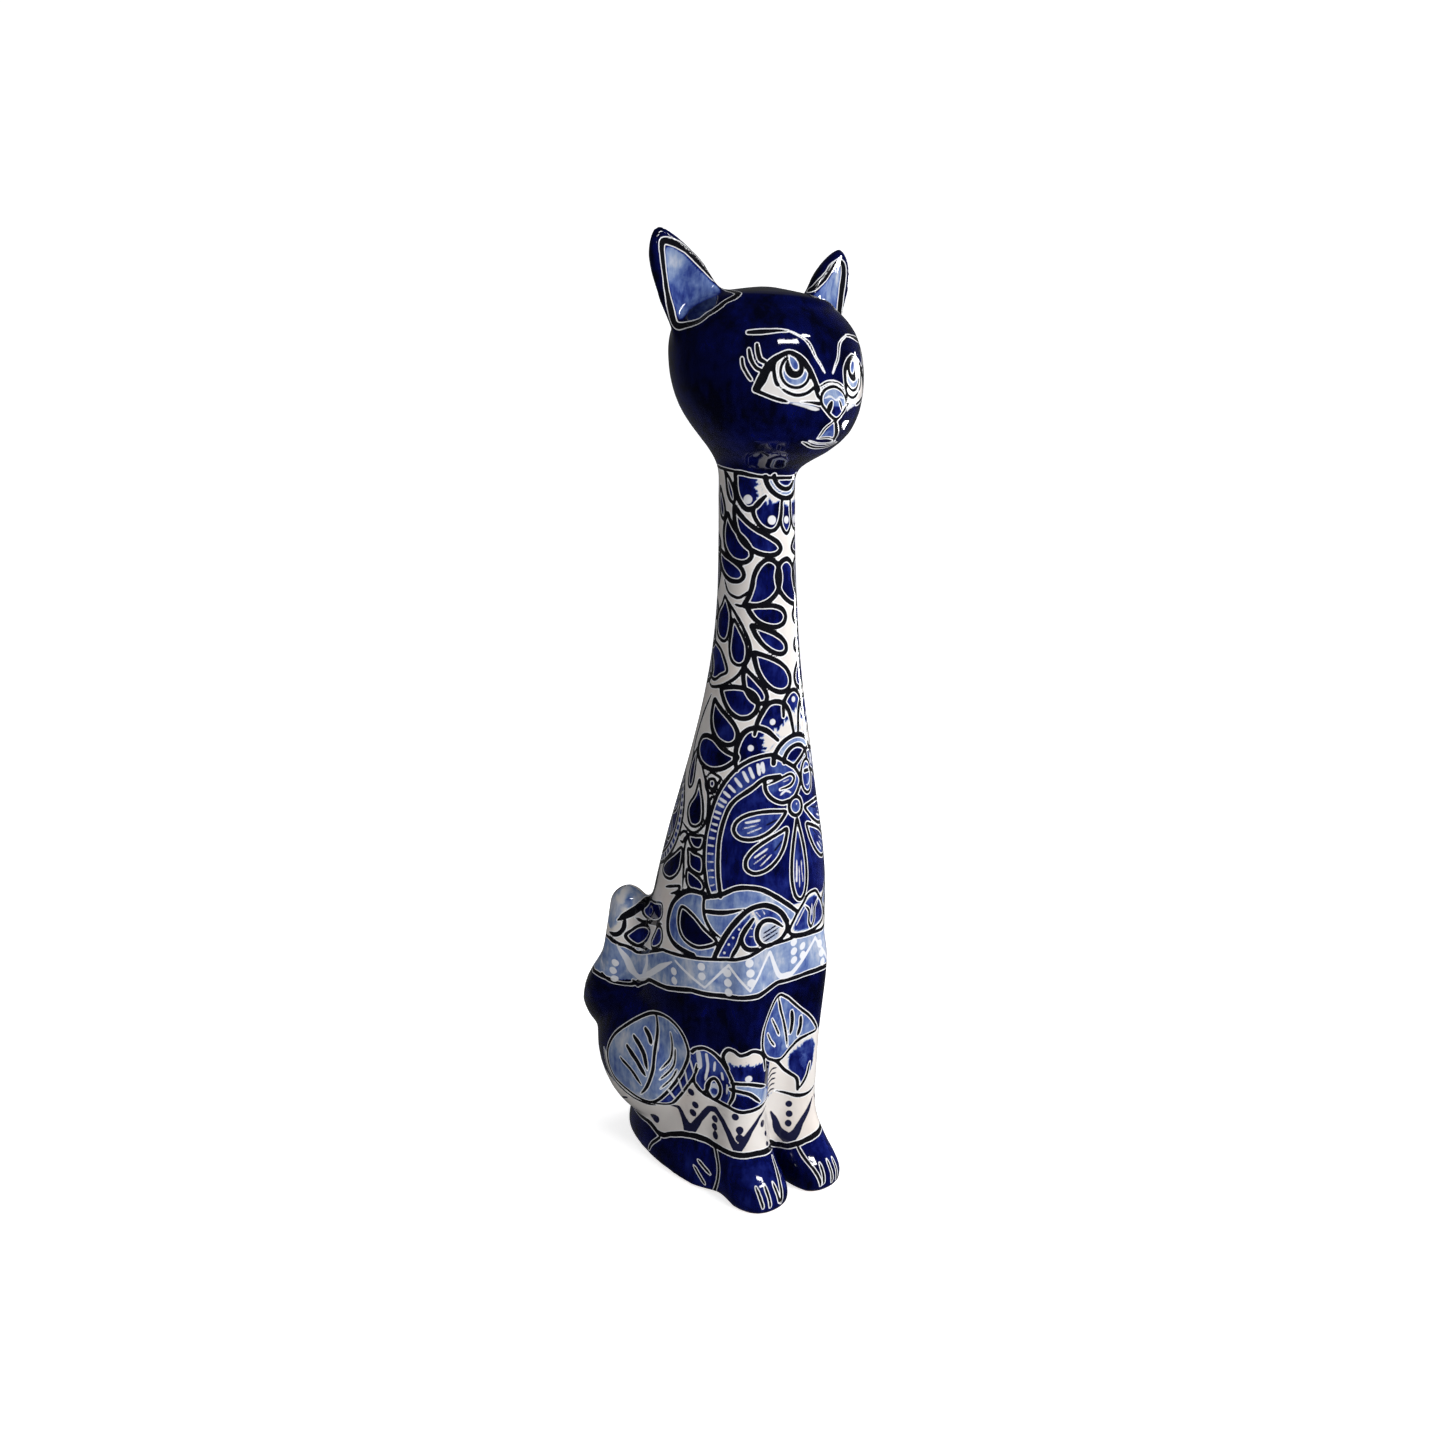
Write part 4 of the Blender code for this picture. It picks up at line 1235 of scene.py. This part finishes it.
def clip_to_node(field, faces, columns):
    """The part of the skin where field is below 0. Columns hold whatever travels with each vertex."""
    below = field < 0
    inside_count = below[faces].sum(axis=1)
    kept = [faces[inside_count == 3]]
    crossing = faces[(inside_count > 0) & (inside_count < 3)]
    edge_vertex = {}
    new_rows = []

    def cut(a, b):
        key = (a, b) if a < b else (b, a)
        if key not in edge_vertex:
            t = field[key[0]] / (field[key[0]] - field[key[1]])
            t = min(max(t, 0.02), 0.98)
            new_rows.append(columns[key[0]] * (1 - t) + columns[key[1]] * t)
            edge_vertex[key] = len(columns) + len(new_rows) - 1
        return edge_vertex[key]

    made = []
    for face in crossing:
        first = next(k for k in range(3) if below[face[k]] and not below[face[k - 1]])
        a, b, c = (int(face[(first + k) % 3]) for k in range(3))
        if below[b]:
            ca, bc = cut(c, a), cut(b, c)
            made += [(a, b, bc), (a, bc, ca)]
        else:
            made.append((a, cut(a, b), cut(c, a)))
    if made:
        kept.append(np.array(made))
    faces = np.vstack(kept)
    columns = np.vstack((columns, np.array(new_rows))) if new_rows else columns
    used, renumbered = np.unique(faces, return_inverse=True)
    return columns[used], renumbered.reshape(-1, 3)


def boundary_edges(faces):
    """The directed edges that only one face uses."""
    edges = np.vstack((faces[:, (0, 1)], faces[:, (1, 2)], faces[:, (2, 0)]))
    ordered = np.sort(edges, axis=1)
    keys = ordered[:, 0].astype(np.int64) * (ordered.max() + 1) + ordered[:, 1]
    _, index, count = np.unique(keys, return_index=True, return_counts=True)
    return edges[index[count == 1]]


PAINT_COLUMNS = ("tone", "ink", "navy", "chalk", "bare")


def walled_piece(name, columns, faces, wall):
    """A closed piece: the painted outside, a bare inside one wall away and a rim between them."""
    points, facing, paint = columns[:, :3], columns[:, 3:6], columns[:, 6:]
    facing = facing / np.linalg.norm(facing, axis=1)[:, None]
    count = len(points)
    rim = boundary_edges(faces)
    bare = np.array(paint)
    bare[:, -1] = 1.0
    rows = [faces, faces[:, ::-1] + count]
    rows.append(np.column_stack((rim[:, 1], rim[:, 0], rim[:, 0] + count)))
    rows.append(np.column_stack((rim[:, 1], rim[:, 0] + count, rim[:, 1] + count)))
    mesh = bpy.data.meshes.new(name)
    mesh.from_pydata(np.vstack((points, points - facing * wall)).tolist(), [], np.vstack(rows).tolist())
    both = np.vstack((paint, bare))
    for column, label in enumerate(PAINT_COLUMNS):
        values = mesh.attributes.new(label, "FLOAT", "POINT")
        values.data.foreach_set("value", both[:, column])
    outward = mesh.attributes.new("facing", "FLOAT_VECTOR", "POINT")
    outward.data.foreach_set("vector", np.vstack((facing, np.zeros((count, 3)))).ravel())
    piece = bpy.data.objects.new(name, mesh)
    bpy.context.scene.collection.objects.link(piece)
    thin_inside(piece, count, np.unique(rim) + count, len(faces), len(rim))
    mesh = piece.data
    mesh.shade_smooth()
    directions = np.zeros(len(mesh.vertices) * 3)
    mesh.attributes["facing"].data.foreach_get("vector", directions)
    directions = directions.reshape(-1, 3)
    corners = np.zeros(len(mesh.loops), np.int32)
    mesh.loops.foreach_get("vertex_index", corners)
    starts = np.zeros(len(mesh.polygons), np.int32)
    mesh.polygons.foreach_get("loop_start", starts)
    per_corner = directions[corners]
    by_face = np.linalg.norm(per_corner[starts[:, None] + np.arange(3)], axis=2).min(axis=1) > 0.5
    per_corner[~np.repeat(by_face, 3)] = 0
    mesh.normals_split_custom_set(per_corner.tolist())
    mesh.attributes.remove(mesh.attributes["facing"])
    return piece


def thin_inside(piece, first_inner, rim_inner, face_count, rim_count):
    """Thins the hidden inside of a piece to a few percent of its faces."""
    total = 2 * face_count + 2 * rim_count
    kept_share = (1.08 * face_count + 2 * rim_count) / total
    group = piece.vertex_groups.new(name="inside")
    inner = np.setdiff1d(np.arange(first_inner, len(piece.data.vertices)), rim_inner)
    group.add(inner.tolist(), 1.0, "REPLACE")
    change = piece.modifiers.new("thin", "DECIMATE")
    change.ratio = kept_share
    change.vertex_group = group.name
    change.use_collapse_triangulate = True
    apply_modifiers(piece)
    piece.vertex_groups.clear()


def skin_faces():
    skin.data.calc_loop_triangles()
    corners = np.zeros(len(skin.data.loop_triangles) * 3, np.int32)
    skin.data.loop_triangles.foreach_get("vertices", corners)
    return corners.reshape(-1, 3)


def over_floor():
    """For each vertex, how far in mm it is past the floor slab's edge, on the underside only."""
    bm = bmesh.new()
    bm.from_mesh(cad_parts["floor_slab"].data)
    tree = BVHTree.FromBMesh(bm)
    bm.free()
    past = np.full(len(skin_points), FAR)
    underside = (vertex_height < UNDERSIDE_TOP) & (skin_facing[:, 2] < UNDERSIDE_FACING)
    for row in np.flatnonzero(underside):
        past[row] = tree.find_nearest(Vector(skin_points[row]))[3] / MM - FLOOR_CLEARANCE
    return past


def cut_pieces():
    """One closed, painted piece for each clay node."""
    bare = ((vertex_height < BARE_TOP) & (skin_facing[:, 2] < BARE_FACING)).astype(float)
    columns = np.column_stack((skin_points, skin_facing, tone, *(layers[layer] for layer in LAYERS), bare))
    distances = node_distances(skin_points, NODE_REACH) / MM
    faces = skin_faces()
    floor_gap = over_floor()
    pieces = {}
    for column, node in enumerate(CLAY_NODES):
        others = np.delete(distances, column, axis=1).min(axis=1)
        field = distances[:, column] - others
        if node == "body_shell":
            field = np.maximum(field, -floor_gap)
        near = field < 0
        near_faces = faces[near[faces].any(axis=1)]
        part_columns, part_faces = clip_to_node(field, near_faces, columns)
        wall = WALL.get(node, LIMB_WALL)
        pieces[node] = walled_piece(f"{node}_glazed", part_columns, part_faces, wall)
    return pieces


pieces = cut_pieces()
bpy.data.objects.remove(skin)


# Materials


class Nodes:
    """A short way to lay out a material's nodes."""

    def __init__(self, name):
        self.material = bpy.data.materials.new(name)
        self.material.use_nodes = True
        self.tree = self.material.node_tree
        self.tree.nodes.clear()
        self.place = 0

    def add(self, kind, inputs=(), **settings):
        node = self.tree.nodes.new(kind)
        node.location = (200 * (self.place % 12), -220 * (self.place // 12))
        self.place += 1
        for key, value in settings.items():
            setattr(node, key, value)
        for key, value in dict(inputs).items():
            self.join(value, node.inputs[key])
        return node

    def join(self, value, socket):
        if isinstance(value, bpy.types.NodeSocket):
            self.tree.links.new(value, socket)
        else:
            socket.default_value = value

    def math(self, operation, *values):
        node = self.add("ShaderNodeMath", operation=operation)
        for value, socket in zip(values, node.inputs):
            self.join(value, socket)
        return node.outputs[0]

    def ease(self, value, start, end, low=0.0, high=1.0):
        """Value eased from low at start to high at end."""
        node = self.add("ShaderNodeMapRange", interpolation_type="SMOOTHSTEP")
        for socket, given in zip(node.inputs, (value, start, end, low, high)):
            self.join(given, socket)
        return node.outputs[0]

    def mix(self, share, first, second):
        node = self.add("ShaderNodeMix", data_type="RGBA")
        for socket, value in ((0, share), (6, first), (7, second)):
            self.join(value, node.inputs[socket])
        return node.outputs[2]

    def noise(self, scale, detail=2.0, roughness=0.5, coordinates=None, distortion=0.0):
        settings = {"Scale": scale, "Detail": detail, "Roughness": roughness, "Distortion": distortion}
        if coordinates is not None:
            settings["Vector"] = coordinates
        return self.add("ShaderNodeTexNoise", settings).outputs["Fac"]

    def value(self, name):
        return self.add(
            "ShaderNodeAttribute", attribute_name=name, attribute_type="GEOMETRY"
        ).outputs["Fac"]


# The glaze's colour for each depth of cobalt
COBALT_STEPS = (
    (0.0, (0.77, 0.73, 0.695)),
    (0.12, (0.58, 0.60, 0.66)),
    (0.32, (0.25, 0.33, 0.52)),
    (0.48, (0.11, 0.17, 0.40)),
    (0.62, (0.040, 0.070, 0.27)),
    (0.76, (0.010, 0.018, 0.16)),
    (0.86, (0.0020, 0.0040, 0.070)),
    (0.97, (0.0006, 0.0010, 0.010)),
)
INK = (0.006, 0.006, 0.009, 1)
NAVY = (0.005, 0.007, 0.040, 1)
EDGE = (0.93, 0.93, 0.95, 1)
CHALK = (0.84, 0.84, 0.86, 1)
CLAY, CLAY_LIGHT = (0.52, 0.36, 0.26, 1), (0.68, 0.52, 0.40, 1)
WARM_TINT = (0.93, 0.80, 0.72, 1)  # drifts of warmer glaze in the white
PIT = (0.12, 0.09, 0.08, 1)
MOTTLE = 3.8  # how unevenly the cobalt lies
EDGE_START, EDGE_END = 0.66, 0.42  # the pale edge beside a black line, in mm from the line
GLAZE_IOR, COAT, COAT_ROUGHNESS = 1.5, 0.35, 0.04


def painted_glaze(name, gloss=0.04):
    """Hand-painted glaze: mottled cobalt washes, with pale-edged black lines and white spots over them."""
    n = Nodes(name)
    where = n.add("ShaderNodeTexCoord").outputs["Object"]
    stretched = n.add("ShaderNodeMapping", {"Vector": where, "Scale": (1, 1, 0.3)}).outputs[0]
    patches = n.noise(55, 4, 0.6, where, 0.4)
    bristles = n.noise(320, 3, 0.6, stretched)
    grain = n.noise(900, 3, 0.6, where)
    drift = n.noise(26, 3, 0.5, where)
    wobble = n.math("MULTIPLY", n.math("SUBTRACT", n.noise(420, 2, 0.5, where), 0.5), 0.28)

    # Cobalt: middle depths are mottled most
    tone_read = n.value("tone")
    body = n.math("MULTIPLY", tone_read, n.math("SUBTRACT", 1.02, tone_read))
    streaks = n.math("MULTIPLY", n.math("SUBTRACT", bristles, 0.5), 0.5)
    uneven = n.math("ADD", n.math("SUBTRACT", patches, 0.5), streaks)
    depth = n.math("ADD", tone_read, n.math("MULTIPLY", uneven, n.math("MULTIPLY", body, MOTTLE)))
    ramp = n.add("ShaderNodeValToRGB", {"Fac": depth})
    steps = ramp.color_ramp.elements
    for place, (position, color) in enumerate(COBALT_STEPS):
        step = steps[place] if place < 2 else steps.new(position)
        step.position = position
        step.color = (*color, 1)
    color = ramp.outputs["Color"]
    warm = n.mix(n.ease(drift, 0.45, 0.75, 0, 0.35), (1, 1, 1, 1), WARM_TINT)
    tinted = n.add("ShaderNodeMix", data_type="RGBA", blend_type="MULTIPLY")
    n.join(n.ease(tone_read, 0.25, 0.02), tinted.inputs[0])
    n.join(color, tinted.inputs[6])
    n.join(warm, tinted.inputs[7])
    color = tinted.outputs[2]

    # Lines and spots, each with an edge that wavers
    navy = n.math("ADD", n.value("navy"), wobble)
    color = n.mix(n.ease(navy, 0.15, -0.15, 0, 0.99), color, NAVY)
    ink = n.math("ADD", n.value("ink"), wobble)
    edge = n.ease(ink, EDGE_START, EDGE_END, 0, n.math("ADD", 0.75, n.math("MULTIPLY", grain, 0.4)))
    color = n.mix(edge, color, EDGE)
    inked = n.ease(ink, 0.16, -0.1)
    color = n.mix(inked, color, INK)
    chalk = n.math("ADD", n.value("chalk"), wobble)
    chalked = n.ease(chalk, 0.15, -0.25, 0, n.math("ADD", 0.55, n.math("MULTIPLY", patches, 0.6)))
    color = n.mix(chalked, color, CHALK)

    # Pinholes in the white, and bare clay
    pits = n.add("ShaderNodeTexVoronoi", {"Vector": where, "Scale": 160.0}).outputs["Distance"]
    pitted = n.math("MULTIPLY", n.ease(pits, 0.075, 0.04), n.ease(drift, 0.5, 0.62))
    pitted = n.math("MULTIPLY", pitted, n.ease(tone_read, 0.3, 0.1))
    color = n.mix(n.math("MULTIPLY", pitted, 0.5), color, PIT)
    clay = n.mix(n.noise(240, 5, 0.7, where), CLAY, CLAY_LIGHT)
    bared = n.ease(n.value("bare"), 0.4, 0.6)
    color = n.mix(bared, color, clay)

    # Gloss and relief
    shine = n.math("ADD", gloss, n.math("MULTIPLY", n.math("SUBTRACT", patches, 0.4), 0.06))
    shine = n.math("ADD", shine, n.math("MULTIPLY", inked, 0.04))
    rough = n.math("ADD", shine, n.math("MULTIPLY", bared, 0.75))
    relief = n.math("ADD", n.math("MULTIPLY", inked, 0.05), n.math("MULTIPLY", edge, -0.03))
    relief = n.math("ADD", relief, n.math("MULTIPLY", drift, 0.55))
    relief = n.math("ADD", relief, n.math("MULTIPLY", patches, 0.05))
    relief = n.math("ADD", relief, n.math("MULTIPLY", n.math("MULTIPLY", grain, bared), 0.25))
    relief = n.math("SUBTRACT", relief, n.math("MULTIPLY", pitted, 0.08))
    bump = n.add("ShaderNodeBump", {"Height": relief, "Strength": 1.0, "Distance": MM}).outputs[0]
    coat = n.math("SUBTRACT", COAT, n.math("MULTIPLY", bared, COAT))
    surface = n.add(
        "ShaderNodeBsdfPrincipled",
        {
            "Base Color": color,
            "Roughness": rough,
            "Normal": bump,
            "IOR": GLAZE_IOR,
            "Coat Weight": coat,
            "Coat Roughness": COAT_ROUGHNESS,
        },
    )
    n.add("ShaderNodeOutputMaterial", {"Surface": surface.outputs[0]})
    return n.material


def bare_clay(name):
    """Unglazed fired clay, gritty and a little stained."""
    n = Nodes(name)
    where = n.add("ShaderNodeTexCoord").outputs["Object"]
    stain = n.noise(60, 4, 0.6, where)
    grit = n.noise(900, 4, 0.7, where)
    color = n.mix(stain, CLAY, (0.66, 0.50, 0.38, 1))
    color = n.mix(n.ease(grit, 0.62, 0.7, 0, 0.5), color, (0.25, 0.15, 0.1, 1))
    height = n.math("ADD", n.math("MULTIPLY", grit, 0.3), n.math("MULTIPLY", stain, 0.4))
    bump = n.add("ShaderNodeBump", {"Height": height, "Strength": 0.8, "Distance": MM}).outputs[0]
    rough = n.ease(stain, 0.2, 0.8, 0.78, 0.95)
    surface = n.add("ShaderNodeBsdfPrincipled", {"Base Color": color, "Roughness": rough, "Normal": bump})
    n.add("ShaderNodeOutputMaterial", {"Surface": surface.outputs[0]})
    return n.material


GLAZES = {name: painted_glaze(name) for name in ("white_glaze", "cobalt_glaze", "pale_blue_glaze")}
SLOT_OF = {"body_shell": "white_glaze", "tail": "pale_blue_glaze"}

for node, piece in pieces.items():
    slot = SLOT_OF.get(node, "cobalt_glaze")
    piece.data.materials.append(GLAZES[slot])
    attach(piece, "root")
    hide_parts(node)

floor_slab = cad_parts["floor_slab"]
floor_slab.data.materials.clear()
floor_slab.data.materials.append(bare_clay("bare_clay"))


# Studio

CAMERA_AT = Vector((-0.424, -0.5444, 0.4366))
CAMERA_TARGET = Vector((0, 0.0227, 0.2556))
CAMERA_ROLL = math.radians(2.4)
CAMERA_LENS = 32.4
BACKDROP_LIFT = 0.72  # how much the paper is brightened for the camera alone
ROOM_LIGHT = 0.28  # the room as dull surfaces see it
ROOM_BEFORE, ROOM_BEHIND = 0.012, 0.06  # the room in reflections, before and behind the cat
ROOM_COLOR = (0.97, 0.98, 1, 1)
# Soft lamps: name, angle round the cat, height, distance, size, watts, height aimed at, seen in reflections
LAMPS = (
    ("side_strip", -100, 0.16, 1.2, (0.07, 0.16), 2.5, 0.20, True),
    ("eye_panel", -94, 0.66, 1.2, (0.24, 0.20), 4.0, 0.40, True),
    ("high_bar", -5, 2.50, 2.2, (1.00, 0.16), 15, 0.30, True),
    ("brow_spark", -33, 2.46, 2.0, (0.30, 0.12), 5, 0.40, True),
    ("side_fill", -96, 0.30, 1.2, (0.30, 0.40), 7, 0.20, False),
    ("front_fill", -14, 0.55, 1.3, (0.60, 0.60), 12, 0.12, False),
)


def backdrop():
    """A pale sweep: a floor that curves up into a wall behind the cat, as seen from the camera."""
    away = (CAMERA_TARGET - CAMERA_AT).to_2d().normalized()
    side = Vector((-away.y, away.x))
    reach, bend_radius, half_width, tall = 1.5, 0.8, 4.0, 3.0
    outline = [(-3.0, 0.0), (0.0, 0.0), (reach, 0.0)]
    outline += [
        (reach + bend_radius * math.sin(turn), bend_radius * (1 - math.cos(turn)))
        for turn in np.linspace(0, math.pi / 2, 24)[1:]
    ]
    outline.append((reach + bend_radius, tall))
    points, faces = [], []
    for along, height in outline:
        for across in (-half_width, half_width):
            spot = away * along + side * across
            points.append((spot.x, spot.y, height))
    for row in range(len(outline) - 1):
        faces.append((2 * row, 2 * row + 1, 2 * row + 3, 2 * row + 2))
    mesh = bpy.data.meshes.new("backdrop")
    mesh.from_pydata(points, [], faces)
    mesh.shade_smooth()
    n = Nodes("backdrop_paper")
    where = n.add("ShaderNodeTexCoord").outputs["Object"]
    color = n.mix(n.noise(3, 2, 0.5, where), (0.80, 0.80, 0.81, 1), (0.84, 0.84, 0.84, 1))
    lift = n.math("MULTIPLY", n.add("ShaderNodeLightPath").outputs["Is Camera Ray"], BACKDROP_LIFT)
    surface = n.add(
        "ShaderNodeBsdfPrincipled",
        {
            "Base Color": color,
            "Roughness": 0.9,
            "Specular IOR Level": 0.2,
            "Emission Color": (1, 1, 1, 1),
            "Emission Strength": lift,
        },
    )
    n.add("ShaderNodeOutputMaterial", {"Surface": surface.outputs[0]})
    mesh.materials.append(n.material)
    sweep = bpy.data.objects.new("backdrop", mesh)
    sweep.visible_glossy = False
    bpy.context.scene.collection.objects.link(sweep)


def soft_lamp(name, angle, height, distance, size, power, aim, glossy):
    """A rectangular soft lamp at an angle round the cat, aimed at a height on its axis."""
    data = bpy.data.lights.new(name, "AREA")
    data.shape = "RECTANGLE"
    data.size, data.size_y = size
    data.energy = power
    lamp = bpy.data.objects.new(name, data)
    lamp.visible_glossy = glossy
    turn = math.radians(angle)
    lamp.location = (-math.sin(turn) * distance, -math.cos(turn) * distance, height)
    lamp.rotation_euler = (Vector((0, 0, aim)) - lamp.location).to_track_quat("-Z", "Y").to_euler()
    bpy.context.scene.collection.objects.link(lamp)


def light_world():
    """Even white light, with a dark room in reflections that is a little brighter behind the cat."""
    world = bpy.data.worlds.new("studio")
    bpy.context.scene.world = world
    world.use_nodes = True
    tree = world.node_tree
    tree.nodes.clear()
    path = tree.nodes.new("ShaderNodeLightPath")
    behind = tree.nodes.new("ShaderNodeVectorMath")
    behind.operation = "DOT_PRODUCT"
    behind.inputs[1].default_value = (CAMERA_TARGET - CAMERA_AT).normalized()
    tree.links.new(tree.nodes.new("ShaderNodeTexCoord").outputs["Generated"], behind.inputs[0])
    wall = tree.nodes.new("ShaderNodeMapRange")
    wall.interpolation_type = "SMOOTHSTEP"
    for socket, value in zip(wall.inputs, (0.0, 0.2, 1.0, ROOM_BEFORE, ROOM_BEHIND)):
        socket.default_value = value
    tree.links.new(behind.outputs["Value"], wall.inputs["Value"])
    strength = tree.nodes.new("ShaderNodeMapRange")
    strength.inputs["To Min"].default_value = ROOM_LIGHT
    tree.links.new(wall.outputs[0], strength.inputs["To Max"])
    tree.links.new(path.outputs["Is Glossy Ray"], strength.inputs["Value"])
    sky = tree.nodes.new("ShaderNodeBackground")
    sky.inputs["Color"].default_value = ROOM_COLOR
    tree.links.new(strength.outputs[0], sky.inputs["Strength"])
    out = tree.nodes.new("ShaderNodeOutputWorld")
    tree.links.new(sky.outputs[0], out.inputs[0])


def add_camera():
    data = bpy.data.cameras.new("camera")
    data.lens = CAMERA_LENS
    camera = bpy.data.objects.new("camera", data)
    facing = (CAMERA_TARGET - CAMERA_AT).to_track_quat("-Z", "Y").to_matrix().to_4x4()
    camera.matrix_world = Matrix.Translation(CAMERA_AT) @ facing @ Matrix.Rotation(CAMERA_ROLL, 4, "Z")
    bpy.context.scene.collection.objects.link(camera)
    bpy.context.scene.camera = camera


backdrop()
light_world()
for lamp_settings in LAMPS:
    soft_lamp(*lamp_settings)
add_camera()
bpy.context.scene.view_settings.view_transform = "Standard"
